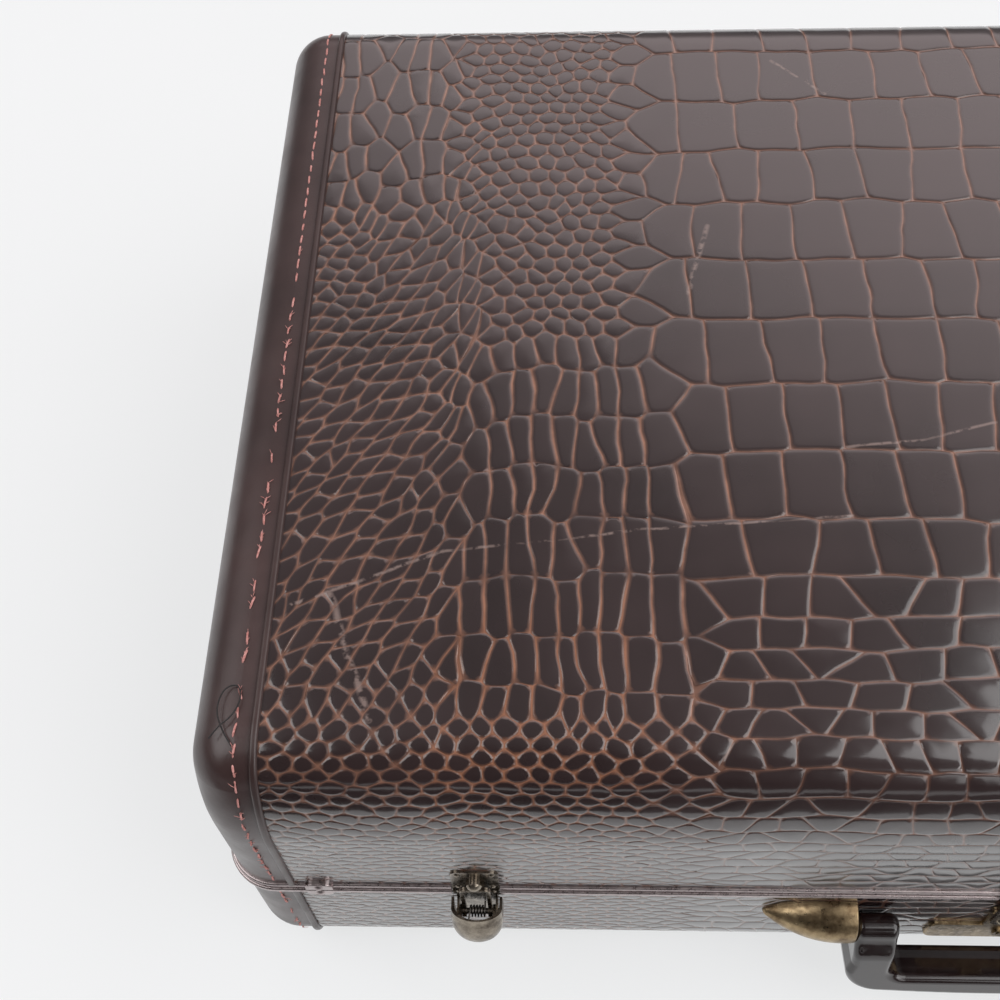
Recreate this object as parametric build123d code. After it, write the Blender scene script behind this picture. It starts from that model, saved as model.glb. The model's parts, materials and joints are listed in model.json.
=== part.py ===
"""Hard-sided suitcase of about 1950: a wooden lid and base covered in embossed leather,
with leather end bindings, metal edge mouldings, two spring latches, a hinged carrying
handle, a centre hasp with a keyed lock, back hinges and folding lid stays.

Millimetres. X runs along the case, the front with the handle faces -Y, Z is up.
The origin is the centre of the underside."""

from build123d import *
import math
import os

# Case, measured over the leather
CASE_L = 670.0
CASE_D = 440.0
BASE_H = 93.0
LID_H = 105.0
END_ROLL = 20.0
BASE_ROLL = 29.0
LID_SIDE_R = 85.0
LID_SIDE_TURN = 25.0
LID_TOP_R = 23.0

# Layers of the walls, from the outside in
LEATHER_T = 1.2
BOARD_T = 5.0
LINING_T = 1.5
LINING_GAP = 0.2

# Seam between the cover and the end binding, and the piping on it
SEAM_IN = 27.3
PIPING_W = 3.2
PIPING_H = 1.7
PIPING_EDGE_R = 1.3
PIPING_OUTER = 0.6
PIPING_FLOOR_GAP = 0.3

# Metal mouldings round the two rims
MOULD_H = 3.4
MOULD_BEAD_LID = 1.4
MOULD_BEAD_BASE = 2.3
MOULD_EDGE_R = 0.9
PARTING_GAP = 0.6
LIP_IN = 2.6
LIP_T = 1.1
LIP_RISE = 2.3
LIP_GAP = 0.4
LIP_WEB_T = 0.7
LIP_BACK_CLEAR = 60.0
TAB_IN = 39.0
TAB_W = 12.0
TAB_RISE = 6.6
TAB_T = 2.4
TAB_CORNER_R = 3.5
TAB_EDGE_R = 0.6
TAB_RIVET_R = 2.0
TAB_RIVET_H = 1.0

# Latches
LATCH_IN = 106.0
LATCH_OPEN = 26.0
PLATE_T = 1.0
NOTCH_GAP = 0.4
LATCH_HEAD_W = 20.0
LATCH_HEAD_H = 5.2
LATCH_PLATE_W = 17.8
LATCH_PLATE_H = 31.0
EAR_T = 1.0
EAR_R = 3.1
EAR_FOOT = 2.0
PIN_OUT = 5.0
PIN_DROP = 19.0
LATCH_PIN_R = 1.3
LATCH_PIN_GAP = 0.05
CUP_W = 22.4
CUP_T = 1.1
CUP_RIM_DROP = 8.5
CUP_SIDE_PART = 0.45
CUP_ROWS = (
    (0.0, 0.2, 1.8, 12.6),
    (6.5, 0.0, 1.9, 15.0),
    (13.5, 0.3, 3.2, 16.6),
    (19.5, 2.2, 5.4, 16.2),
    (23.9, 5.2, 7.4, 14.0),
    (26.5, 8.4, 8.8, 11.0),
)
CUP_HOLLOW_BACK = 1.0
CUP_LEAST_DEPTH = 0.5
CUP_LUG_REACH = 12.8
CUP_LUG_T = 1.0
CUP_LUG_R = 2.9
HOOK_W = 13.0
HOOK_BAR = 1.8
HOOK_CORNER_R = 2.6
HOOK_EYE_R = 2.5
HOOK_SEAT_GAP = 0.2
HOOK_SET_IN = 0.7
HOOK_EDGE_R = 0.5
SIDE_GAP = 0.2
KEEPER_W = 20.0
KEEPER_LOW = 0.8
KEEPER_H = 22.0
KEEPER_RIVET_IN = 3.2
KEEPER_LIP_W = 8.2
KEEPER_LIP_Z = 9.0
KEEPER_LIP_OUT = 4.8
KEEPER_LIP_DROP = 1.6
KEEPER_LIP_LOW = 2.4
KNOB_R = 3.3
KNOB_Z = 14.8
KNOB_OUT = 6.4
KNOB_NECK_R = 2.2
KNOB_HEAD_H = 2.2
SMALL_RIVET_R = 1.4
SMALL_RIVET_H = 0.7
SPRING_R = 2.25
SPRING_WIRE_R = 0.4
SPRING_TURNS = 5
SPRING_PITCH = 1.3
SPRING_LEG_IN = 3.8
SPRING_LEG_OUT = 7.0

# Handle
HANDLE_W = 128.4
HANDLE_FLARE = 1.5
HANDLE_FLARE_FROM = 18.0
HANDLE_PIVOT_OUT = 7.0
HANDLE_PIVOT_DROP = 29.0
HANDLE_DROOP = 76.0
HANDLE_GRIP_IN = 30.5
HANDLE_GRIP_OUT = 41.8
HANDLE_BOW = 2.0
HANDLE_CORNER_R = 17.0
HANDLE_HALF_T = 9.4
HANDLE_EYE_R = 6.0
HANDLE_FULL_AT = 13.0
HANDLE_OPEN_W = 91.0
HANDLE_OPEN_W_GRIP = 93.0
HANDLE_OPEN_R = 8.0
HANDLE_EDGE_R = 3.2
HANDLE_GROOVE_W = 11.0
HANDLE_GROOVE_D = 3.6
CAP_GAP = 0.3
CAP_L = 39.5
CAP_R = 13.6
CAP_TIP_R = 2.6
CAP_FULL_AT = 0.62
CAP_FULL_R = 0.76
CAP_EDGE_R = 0.9
HANDLE_PIN_R = 2.0
HANDLE_PIN_IN_LEG = 10.0
HANDLE_PIN_IN_CAP = 8.0
RUN_GAP = 0.05
SEAT_GAP = 0.02

# Centre hasp and lock
HASP_W = 9.0
HASP_T = 1.2
HASP_END_FLAT = 0.3
HASP_OUT = 2.3
HASP_LOW = 36.0
HASP_PIVOT_OUT = 2.9
HASP_PIVOT_UP = 3.2
HASP_KNUCKLE_R = 1.9
HASP_PIN_R = 0.9
HASP_LIFT_R = 2.2
HASP_LIFT_OUT = 1.4
HASP_PLATE_W = 17.0
HASP_PLATE_H = 13.0
STAPLE_W = 3.4
STAPLE_H = 2.2
STAPLE_DEEP = 4.7
STAPLE_Z = 30.0
EYE_W = 2.1
EYE_D = 2.8
EYE_FROM = 0.9
LOCK_W = 54.0
LOCK_TOP = 44.5
LOCK_H = 20.0
LOCK_TONGUE_W = 8.8
LOCK_TONGUE_TOP = 25.0
LOCK_T = 1.5
LOCK_CORNER_R = 5.0
LOCK_EDGE = 0.5
LOCK_SLOT_GAP = 0.9
LOCK_CASE_W = 40.0
LOCK_CASE_MARGIN = 1.0
LOCK_CASE_D = 9.0
LOCK_NECK_W = 6.8
LOCK_NECK_TOP = 26.0
CUTOUT_GAP = 0.4
PLUG_X = 7.5
PLUG_Z = 54.5
PLUG_R = 3.4
PLUG_BOSS_R = 5.0
PLUG_BOSS_H = 1.2
PLUG_OUT = 0.4
PLUG_DEEP = 6.0
KEYWAY_W = 1.2
KEYWAY_H = 4.4
KEYWAY_D = 4.0
BOLT_L = 17.0
BOLT_D = 2.0
BOLT_W = 1.8
BOLT_REST_GAP = 0.4
BOLT_TRAVEL = 5.0

# Back hinges
HINGE_IN = 130.0
HINGE_W = 44.0
HINGE_LEAF_H = 15.0
HINGE_LEAF_T = 1.2
HINGE_OUT = 3.4
HINGE_KNUCKLE_R = 2.9
HINGE_PIN_R = 1.5
HINGE_KNUCKLES = 5
HINGE_END_GAP = 0.15
HINGE_CORNER_R = 3.0
HINGE_RIVETS = 3
HINGE_RIVET_R = 1.8

# Lid stays, placed by how far their pivots lie in front of and above the hinge axis
LID_OPEN = 100.0
STAY_BASE_FRONT = 70.0
STAY_BASE_UP = -24.0
STAY_LID_FRONT = 96.0
STAY_LID_UP = 26.0
STAY_LOWER = 82.0
STAY_UPPER = 79.5
STAY_T = 1.5
STAY_W = 10.0
STAY_STUD_R = 2.4
STAY_HEAD_R = 3.8
STAY_HEAD_T = 0.8
STAY_PLATE_W = 13.0
STAY_PLATE_H = 30.0
STAY_PLATE_T = 1.5
STAY_GAP = 0.3

# Feet on the hinge side and the pocket in the lid
FOOT_IN = 45.0
FOOT_R = 8.5
FOOT_H = 8.0
FOOT_BASE_Z = 40.0
FOOT_LID_UP = 30.0
POCKET_IN = 65.0
POCKET_D = 150.0
POCKET_T_TOP = 15.0
POCKET_T_LOW = 6.0
POCKET_FROM_BACK = 26.0
POCKET_GAP = 0.3
POCKET_EDGE_R = 2.5

# Worked out from the sizes above
HALF_L = CASE_L / 2
HALF_D = CASE_D / 2
LATCH_X = HALF_L - LATCH_IN
HINGE_X = HALF_L - HINGE_IN
FOOT_X = HALF_L - FOOT_IN
POCKET_W = CASE_L - 2 * POCKET_IN
BOARD_IN = LEATHER_T + BOARD_T
LINING_OUT = BOARD_IN + LINING_GAP
LINING_IN = LINING_OUT + LINING_T
HALF_GAP = PARTING_GAP / 2
CUP_HALF = CUP_W / 2
PARTS = {}


def frame_box(x0, x1, y0, y1, z0, z1):
    """A box between two corners."""
    size = (x1 - x0, y1 - y0, z1 - z0)
    middle = ((x0 + x1) / 2, (y0 + y1) / 2, (z0 + z1) / 2)
    return Pos(*middle) * Box(*size)


def arc_point(centre, radius, degrees):
    """The point at an angle on a circle in the YZ plane."""
    turn = math.radians(degrees)
    return Vector(0, centre[0] + radius * math.cos(turn), centre[1] + radius * math.sin(turn))


def mirror_y(point):
    return Vector(0, -point.Y, point.Z)


def rounded_block(half_section, open_z, inset, roll):
    """Extrudes the half section, mirrored front to back, and rolls its two ends over."""
    outline = list(half_section)
    middle = half_section[-1][-1]
    outline.append(("line", middle, mirror_y(middle)))
    for kind, *points in reversed(half_section):
        outline.append((kind, *[mirror_y(p) for p in reversed(points)]))
    edges = []
    for kind, *points in outline:
        make = Edge.make_line if kind == "line" else Edge.make_three_point_arc
        edges.append(make(*points))
    edges.append(Edge.make_line(mirror_y(half_section[0][1]), half_section[0][1]))
    length = CASE_L - 2 * inset
    section = Pos(-length / 2, 0, 0) * Face(Wire(edges))
    block = extrude(section, amount=length, dir=(1, 0, 0))
    rim = [
        edge
        for edge in block.edges()
        if abs(abs(edge.center().X) - length / 2) < 1e-4
        and abs(edge.center().Z - open_z) > 1e-4
    ]
    return fillet(rim, roll)


def lid_block(inset, rim_up=0.0):
    """The lid's solid outline, moved in by inset, from a height above the parting plane."""
    turn = math.radians(LID_SIDE_TURN)
    low_y = HALF_D - LID_SIDE_R
    low_z = BASE_H + LID_H - LID_TOP_R - (LID_SIDE_R - LID_TOP_R) * math.sin(turn)
    top_y = low_y + (LID_SIDE_R - LID_TOP_R) * math.cos(turn)
    top_z = BASE_H + LID_H - LID_TOP_R
    low, top = (low_y, low_z), (top_y, top_z)
    side_r, top_r = LID_SIDE_R - inset, LID_TOP_R - inset
    start = Vector(0, HALF_D - inset, BASE_H + rim_up)
    side_foot = arc_point(low, side_r, 0)
    side_head = arc_point(low, side_r, LID_SIDE_TURN)
    crown = arc_point(top, top_r, 90)
    section = [
        ("line", start, side_foot),
        ("arc", side_foot, arc_point(low, side_r, LID_SIDE_TURN / 2), side_head),
        ("arc", side_head, arc_point(top, top_r, (LID_SIDE_TURN + 90) / 2), crown),
    ]
    return rounded_block(section, BASE_H + rim_up, inset, END_ROLL - inset)


def base_block(inset, rim_down=0.0):
    """The base's solid outline, moved in by inset, up to a depth below the parting plane."""
    radius = BASE_ROLL - inset
    centre = (HALF_D - BASE_ROLL, BASE_ROLL)
    start = Vector(0, HALF_D - inset, BASE_H - rim_down)
    foot = arc_point(centre, radius, 0)
    under = arc_point(centre, radius, -90)
    section = [
        ("line", start, foot),
        ("arc", foot, arc_point(centre, radius, -45), under),
    ]
    return rounded_block(section, BASE_H - rim_down, inset, END_ROLL - inset)


def plan_ring(outset, inset, z0, z1):
    """A flat ring between two outlines of the rim."""
    outer = RectangleRounded(CASE_L + 2 * outset, CASE_D + 2 * outset, END_ROLL + outset)
    inner = RectangleRounded(CASE_L - 2 * inset, CASE_D - 2 * inset, END_ROLL - inset)
    return Pos(0, 0, z0) * extrude(outer - inner, amount=z1 - z0)


def front(shape, x=0.0):
    """Moves a piece drawn about the parting line of the front wall to its place."""
    return Pos(x, -HALF_D, BASE_H) * shape


def side_profile(points, x0, x1):
    """A polygon of (outward, up) points, given a thickness along X."""
    loop = [Vector(0, -out, up) for out, up in points]
    edges = [Edge.make_line(a, b) for a, b in zip(loop, loop[1:] + loop[:1])]
    return extrude(Pos(x0, 0, 0) * Face(Wire(edges)), amount=x1 - x0, dir=(1, 0, 0))


def rod_x(radius, x0, x1, out, up):
    """A round bar along X at a place given outward and up from the front parting line."""
    return Pos((x0 + x1) / 2, -out, up) * Rot(0, 90, 0) * Cylinder(radius, x1 - x0)


def dome(radius, height):
    """A low round rivet head standing on the XY plane."""
    ball_r = (radius * radius + height * height) / (2 * height)
    profile = make_face(
        [
            Edge.make_line((0, 0, 0), (radius, 0, 0)),
            Edge.make_three_point_arc(
                (radius, 0, 0),
                (ball_r * math.sin(math.asin(radius / ball_r) / 2), 0,
                 height - ball_r + ball_r * math.cos(math.asin(radius / ball_r) / 2)),
                (0, 0, height),
            ),
            Edge.make_line((0, 0, height), (0, 0, 0)),
        ]
    )
    return revolve(profile, Axis.Z)


def front_dome(radius, height, x, out, up):
    """A rivet head on a face of the front, pointing to -Y."""
    return Pos(x, -out, up) * Rot(90, 0, 0) * dome(radius, height)


def both_sides(name, shape):
    """Keeps a piece drawn on the right, +X, and its mirror image on the left."""
    PARTS[name + "_right"] = shape
    PARTS[name + "_left"] = mirror(shape, Plane.YZ)


def end_slab(sign, z0, z1):
    """The space outboard of a seam."""
    inner, outer = HALF_L - SEAM_IN, HALF_L + END_ROLL
    x0, x1 = (inner, outer) if sign > 0 else (-outer, -inner)
    return frame_box(x0, x1, -CASE_D, CASE_D, z0, z1)


def latch_notch():
    """Room for the latch plates where the front beads would be."""
    width = LATCH_HEAD_W / 2 + NOTCH_GAP
    return [
        frame_box(x - width, x + width, -HALF_D - CASE_D, -HALF_D, 0, BASE_H + LID_H)
        for x in (-LATCH_X, LATCH_X)
    ]


def hasp_notch():
    """Room for the hasp and its plate where the front beads would be."""
    width = HASP_PLATE_W / 2 + NOTCH_GAP
    return [frame_box(-width, width, -HALF_D - CASE_D, -HALF_D, 0, BASE_H + LID_H)]


def hinge_notch():
    """Room for the hinge leaves where the back beads would be."""
    width = HINGE_W / 2 + NOTCH_GAP
    return [
        frame_box(x - width, x + width, HALF_D, HALF_D + CASE_D, 0, BASE_H + LID_H)
        for x in (-HINGE_X, HINGE_X)
    ]


def piping(block_of, x, rim_z, floor_z):
    """A raised half-round strip over the seam, following the wall's section."""
    wall = block_of(0.0)
    x0, x1 = x - PIPING_W / 2, x + PIPING_W / 2
    below, above = sorted((rim_z, BASE_H + (CASE_D if rim_z > BASE_H else -CASE_D)))
    strip = (block_of(-PIPING_H) - wall) & frame_box(x0, x1, -CASE_D, CASE_D, below, above)
    outer = [
        edge
        for edge in strip.edges()
        if abs(abs(edge.center().X - x) - PIPING_W / 2) < 1e-3
        and wall.distance_to(edge.center()) > PIPING_H * PIPING_OUTER
    ]
    strip = fillet(outer, PIPING_EDGE_R)
    return strip & frame_box(x0, x1, -CASE_D, CASE_D, floor_z, BASE_H + CASE_D)


def build_walls():
    """The boards, leather covers, end bindings, linings and pipings of lid and base."""
    past = -MOULD_H
    top = BASE_H + LID_H + 1
    halves = {"lid": (lid_block, BASE_H + MOULD_H), "base": (base_block, BASE_H - MOULD_H)}
    for half, (block_of, rim_z) in halves.items():
        skin = block_of(0.0, MOULD_H) - block_of(LEATHER_T, past)
        board = block_of(LEATHER_T, MOULD_H) - block_of(BOARD_IN, past)
        lining = block_of(LINING_OUT, PARTING_GAP) - block_of(LINING_IN, past)
        middle = frame_box(SEAM_IN - HALF_L, HALF_L - SEAM_IN, -CASE_D, CASE_D, -1, top)
        if half == "base":
            hole = lock_cutout()
            skin, board, lining = skin - hole, board - hole, lining - hole
        PARTS[half + "_board"] = board
        PARTS[half + "_cover"] = skin & middle
        PARTS[half + "_lining"] = lining
        for side, sign in (("left", -1), ("right", 1)):
            PARTS[f"{half}_end_{side}"] = skin & end_slab(sign, -1, top)
            x = sign * (HALF_L - SEAM_IN)
            PARTS[f"{half}_piping_{side}"] = piping(
                block_of, x, rim_z, PIPING_FLOOR_GAP
            )


def tab(sign_x, sign_y, up, z_gap):
    """A rounded tab of the moulding, above or below the parting line."""
    rise = TAB_RISE - z_gap
    plate = Rectangle(TAB_W, rise)
    plate = fillet(
        [v for v in plate.vertices() if v.Y * up > 0], TAB_CORNER_R
    )
    block = extrude(plate, amount=TAB_T)
    block = fillet(block.faces().sort_by(Axis.Z)[-1].edges(), TAB_EDGE_R)
    turned = Pos(0, 0, up * (z_gap + rise / 2)) * Rot(90, 0, 0) * block
    if sign_y > 0:
        turned = mirror(turned, Plane.XZ)
    return Pos(sign_x * (HALF_L - TAB_IN), sign_y * HALF_D, BASE_H) * turned


def tab_rivet(sign_x, sign_y, up):
    """The rivet head on a tab."""
    head = Pos(0, -TAB_T, up * TAB_RISE / 2) * Rot(90, 0, 0) * dome(TAB_RIVET_R, TAB_RIVET_H)
    if sign_y > 0:
        head = mirror(head, Plane.XZ)
    return Pos(sign_x * (HALF_L - TAB_IN), sign_y * HALF_D, BASE_H) * head


def build_mouldings():
    """The metal edges of the two rims: bead, tabs, and the base's locating lip."""
    corners = [(sx, sy) for sx in (-1, 1) for sy in (-1, 1)]
    spans = {
        "base": (MOULD_BEAD_BASE, BASE_H - MOULD_H, BASE_H - HALF_GAP),
        "lid": (MOULD_BEAD_LID, BASE_H + HALF_GAP, BASE_H + MOULD_H),
    }
    for half, (bead, z0, z1) in spans.items():
        ring = plan_ring(bead, BOARD_IN, z0, z1)
        outer = [
            edge
            for edge in ring.edges()
            if max(abs(edge.center().X) - HALF_L, abs(edge.center().Y) - HALF_D) > bead / 2
            or edge.geom_type == GeomType.CIRCLE and edge.radius > END_ROLL
        ]
        outer = [e for e in outer if abs(e.center().Z - z0) < 1e-4 or abs(e.center().Z - z1) < 1e-4]
        ring = fillet(outer, MOULD_EDGE_R)
        for cut in latch_notch() + hasp_notch() + hinge_notch():
            ring = ring - cut
        if half == "lid":
            groove = plan_ring(-(LIP_IN - LIP_GAP), BOARD_IN + 1, BASE_H, BASE_H + MOULD_H - LIP_WEB_T)
            ring = ring - groove
        else:
            lip = plan_ring(-LIP_IN, LIP_IN + LIP_T, z1 - 1, BASE_H + LIP_RISE)
            back = frame_box(-CASE_L, CASE_L, HALF_D - LIP_BACK_CLEAR, CASE_D, 0, BASE_H + LID_H)
            ring = ring + (lip - back)
        up = 1 if half == "lid" else -1
        for sx, sy in corners:
            ring = ring + tab(sx, sy, up, HALF_GAP)
        PARTS[half + "_moulding"] = ring
        PARTS[half + "_moulding_rivets"] = Compound(
            [tab_rivet(sx, sy, up) for sx, sy in corners]
        )


def cup_section(up, half_w, back, out):
    """A D-shaped section of the finger cup: straight sides from the wall, round outside."""
    shoulder = back + (out - back) * CUP_SIDE_PART
    left, right = Vector(-half_w, -back, up), Vector(half_w, -back, up)
    plane = Plane(origin=(0, -shoulder, up), x_dir=(1, 0, 0), z_dir=(0, 0, 1))
    bow = Edge.make_ellipse(half_w, out - shoulder, plane, 180, 360)
    return Wire(
        [Edge.make_line(left, bow @ 0), bow, Edge.make_line(bow @ 1, right), Edge.make_line(right, left)]
    )


def cup_body(thinner):
    """The lofted outline of the cup, or of its hollow when it is drawn thinner.

    A row holds the drop below the rim, how much narrower the half width is there, and
    how far out from the wall the back and the front of the section are.
    """
    back_shift = thinner + CUP_HOLLOW_BACK if thinner else 0.0
    bottom = CUP_ROWS[-1][0]
    sections = []
    for drop, narrower, back, out in CUP_ROWS:
        lift = thinner if drop == 0.0 else thinner * (drop / bottom) ** 2
        sections.append(
            cup_section(
                -CUP_RIM_DROP - drop + lift,
                CUP_HALF - narrower - thinner,
                back - back_shift,
                max(out - thinner, back + CUP_LEAST_DEPTH),
            )
        )
    return Solid.make_loft(sections)


def latch_pieces():
    """One latch, drawn about the parting line of the front wall."""
    pieces = {}
    drop, out = PIN_DROP, PIN_OUT
    bore_r = LATCH_PIN_R + LATCH_PIN_GAP

    head = frame_box(
        -LATCH_HEAD_W / 2, LATCH_HEAD_W / 2, -PLATE_T, 0, -KEEPER_LOW - LATCH_HEAD_H, -KEEPER_LOW
    )
    body = frame_box(-LATCH_PLATE_W / 2, LATCH_PLATE_W / 2, -PLATE_T, 0, -LATCH_PLATE_H, -KEEPER_LOW)
    plate = head + body
    ear_x = LATCH_PLATE_W / 2 - EAR_T
    ear_low, ear_high = drop + EAR_R + EAR_FOOT, drop - EAR_R - EAR_FOOT
    for side in (-1, 1):
        x0, x1 = sorted((side * ear_x, side * (ear_x + EAR_T)))
        web = side_profile(
            [(PLATE_T / 2, -ear_low), (PLATE_T / 2, -ear_high), (out, -drop + EAR_R), (out, -drop - EAR_R)],
            x0, x1,
        )
        plate = plate + web + rod_x(EAR_R, x0, x1, out, -drop)
        rivet_up = -KEEPER_LOW - LATCH_HEAD_H / 2
        plate = plate + front_dome(
            SMALL_RIVET_R, SMALL_RIVET_H, side * (LATCH_HEAD_W / 2 - 2 * SMALL_RIVET_R), PLATE_T, rivet_up
        )
    half_pin = LATCH_PLATE_W / 2 + HALF_GAP
    plate = plate - rod_x(LATCH_PIN_R + SEAT_GAP, -half_pin, half_pin, out, -drop)
    pieces["latch_plate"] = plate
    pieces["latch_pin"] = rod_x(LATCH_PIN_R, -half_pin, half_pin, out, -drop)

    cup = cup_body(0.0) - cup_body(CUP_T)
    lug_out = ear_x - SIDE_GAP
    lug_in = lug_out - CUP_LUG_T
    for side in (-1, 1):
        x0, x1 = sorted((side * lug_in, side * lug_out))
        web = side_profile(
            [
                (out, -drop + CUP_LUG_R), (CUP_LUG_REACH, -drop + CUP_LUG_R),
                (CUP_LUG_REACH, -drop - CUP_LUG_R), (out, -drop - CUP_LUG_R),
            ],
            x0, x1,
        )
        cup = cup + web + rod_x(CUP_LUG_R, x0, x1, out, -drop)
    cup = cup - rod_x(bore_r, -lug_out - 1, lug_out + 1, out, -drop)
    pieces["latch_cup"] = cup

    arm_out = HOOK_W / 2
    arm_in = arm_out - HOOK_BAR
    bar_low = KEEPER_LIP_Z + HOOK_SEAT_GAP
    top = bar_low + HOOK_BAR
    d0 = out - HOOK_BAR / 2 - HOOK_SET_IN
    d1 = d0 + HOOK_BAR
    outer = Rectangle(HOOK_W, top + drop)
    outer = fillet(outer.vertices().group_by(Axis.Y)[-1], HOOK_CORNER_R)
    inner = Rectangle(2 * arm_in, top + drop)
    inner = fillet(inner.vertices().group_by(Axis.Y)[-1], HOOK_CORNER_R - HOOK_BAR)
    loop = outer - Pos(0, -HOOK_BAR, 0) * inner
    loop = Pos(0, -d0, (top - drop) / 2) * Rot(90, 0, 0) * extrude(loop, amount=d1 - d0)
    loop = fillet(loop.faces().sort_by(Axis.Y)[0].edges().filter_by(GeomType.LINE), HOOK_EDGE_R)
    for side in (-1, 1):
        x0, x1 = sorted((side * arm_in, side * arm_out))
        loop = loop + rod_x(HOOK_EYE_R, x0, x1, out, -drop)
    loop = loop - rod_x(bore_r, -arm_out - 1, arm_out + 1, out, -drop)
    pieces["latch_hook"] = loop

    keeper = Rectangle(KEEPER_W, KEEPER_H)
    keeper = fillet(keeper.vertices().group_by(Axis.Y)[-1], TAB_CORNER_R)
    keeper = Pos(0, 0, KEEPER_LOW + KEEPER_H / 2) * Rot(90, 0, 0) * extrude(keeper, amount=PLATE_T)
    lip = side_profile(
        [
            (PLATE_T / 2, KEEPER_LIP_LOW),
            (PLATE_T / 2, KEEPER_LIP_Z),
            (KEEPER_LIP_OUT, KEEPER_LIP_Z),
            (KEEPER_LIP_OUT, KEEPER_LIP_Z - KEEPER_LIP_DROP),
        ],
        -KEEPER_LIP_W / 2, KEEPER_LIP_W / 2,
    )
    neck_h = KNOB_OUT - PLATE_T - KNOB_HEAD_H
    knob = Cylinder(KNOB_NECK_R, neck_h, align=(Align.CENTER, Align.CENTER, Align.MIN))
    knob = knob + Pos(0, 0, neck_h) * dome(KNOB_R, KNOB_HEAD_H)
    knob = Pos(0, -PLATE_T, KNOB_Z) * Rot(90, 0, 0) * knob
    keeper = keeper + lip + knob
    for side in (-1, 1):
        for up in (KEEPER_LOW + KEEPER_RIVET_IN, KEEPER_LOW + KEEPER_H - KEEPER_RIVET_IN):
            keeper = keeper + front_dome(
                SMALL_RIVET_R, SMALL_RIVET_H, side * (KEEPER_W / 2 - 2 * SMALL_RIVET_R), PLATE_T, up
            )
    pieces["latch_keeper"] = keeper
    pieces["latch_spring"] = torsion_spring()
    return pieces


def helix_point(turn, start_x):
    """Place and direction on the coil, turn counted in whole turns."""
    angle = 2 * math.pi * turn
    place = Vector(
        start_x + SPRING_PITCH * turn,
        -PIN_OUT - SPRING_R * math.sin(angle),
        -PIN_DROP + SPRING_R * math.cos(angle),
    )
    heading = Vector(
        SPRING_PITCH,
        -2 * math.pi * SPRING_R * math.cos(angle),
        -2 * math.pi * SPRING_R * math.sin(angle),
    ).normalized()
    return place, heading


def biarc(a, ta, b, tb):
    """Two tangent arcs that join two places with given directions."""
    v = b - a
    t = ta + tb
    k = 2 * (1 - ta.dot(tb))
    d = (-v.dot(t) + math.sqrt(v.dot(t) ** 2 + k * v.dot(v))) / k
    middle = (a + b + (ta - tb) * d) * 0.5
    first = Edge.make_tangent_arc(a, ta, middle)
    return [first, Edge.make_tangent_arc(middle, first % 1, b)]


def torsion_spring():
    """The coil round the latch pin, with a leg towards the plate and one into the cup."""
    start_x = -SPRING_PITCH * SPRING_TURNS / 2
    steps = SPRING_TURNS * 2
    edges = []
    first, heading = helix_point(0.0, start_x)
    flat = Vector(0, heading.Y, heading.Z).normalized()
    lead_start = first - flat * SPRING_LEG_IN
    edges.append(Edge.make_line(lead_start, first))
    place, direction = first, flat
    for step in range(1, steps + 1):
        target, toward = helix_point(step / 2, start_x)
        edges += biarc(place, direction, target, toward)
        place, direction = target, toward
    edges.append(Edge.make_line(place, place + direction * SPRING_LEG_OUT))
    path = Wire(edges)
    section = Plane(origin=lead_start, z_dir=flat) * Circle(SPRING_WIRE_R)
    gap = coil_gap(edges)
    print(f"spring gap to itself {gap:.2f} mm")
    return sweep(section, path=path)


def coil_gap(edges):
    """Least clear distance between turns, measured on points along the wire's middle line."""
    points, along, length = [], [], 0.0
    for edge in edges:
        for part in range(8):
            points.append(edge @ (part / 8))
            along.append(length + edge.length * part / 8)
        length += edge.length
    least = 1e9
    apart = math.pi * SPRING_R
    for i, p in enumerate(points):
        for j in range(i + 1, len(points)):
            if along[j] - along[i] > apart:
                least = min(least, (points[j] - p).length)
    return least - 2 * SPRING_WIRE_R


def build_latches():
    """Both latches; one drawing serves left and right."""
    for name, piece in latch_pieces().items():
        both_sides(name, front(piece, LATCH_X))


def handle_outline():
    """The handle seen square on: X along the case, Y from the pivot towards the grip."""
    half, corner, near = HANDLE_W / 2, HANDLE_CORNER_R, -HANDLE_EYE_R
    wide = half + HANDLE_FLARE
    cut = corner * (1 - math.sqrt(0.5))
    side_end = HANDLE_GRIP_OUT - corner
    return [
        Edge.make_line((-half, near), (-half, HANDLE_FLARE_FROM)),
        Edge.make_line((-half, HANDLE_FLARE_FROM), (-wide, side_end)),
        Edge.make_three_point_arc(
            (-wide, side_end), (-wide + cut, HANDLE_GRIP_OUT - cut), (-wide + corner, HANDLE_GRIP_OUT)
        ),
        Edge.make_three_point_arc(
            (-wide + corner, HANDLE_GRIP_OUT), (0, HANDLE_GRIP_OUT + HANDLE_BOW),
            (wide - corner, HANDLE_GRIP_OUT),
        ),
        Edge.make_three_point_arc(
            (wide - corner, HANDLE_GRIP_OUT), (wide - cut, HANDLE_GRIP_OUT - cut), (wide, side_end)
        ),
        Edge.make_line((wide, side_end), (half, HANDLE_FLARE_FROM)),
        Edge.make_line((half, HANDLE_FLARE_FROM), (half, near)),
        Edge.make_line((half, near), (-half, near)),
    ]


def opening_face(grow):
    """The finger opening, or a larger copy of it for the groove round its inside."""
    pivot_half, grip_half = HANDLE_OPEN_W / 2 + grow, HANDLE_OPEN_W_GRIP / 2 + grow
    low, high = -HANDLE_EYE_R - 1, HANDLE_GRIP_IN + grow
    corners = [(-pivot_half, low), (-grip_half, high), (grip_half, high), (pivot_half, low)]
    face = make_face(Polyline(*corners, close=True))
    grip_side = [v for v in face.vertices() if v.Y > HANDLE_GRIP_IN / 2]
    return fillet(grip_side, HANDLE_OPEN_R + grow)


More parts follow.
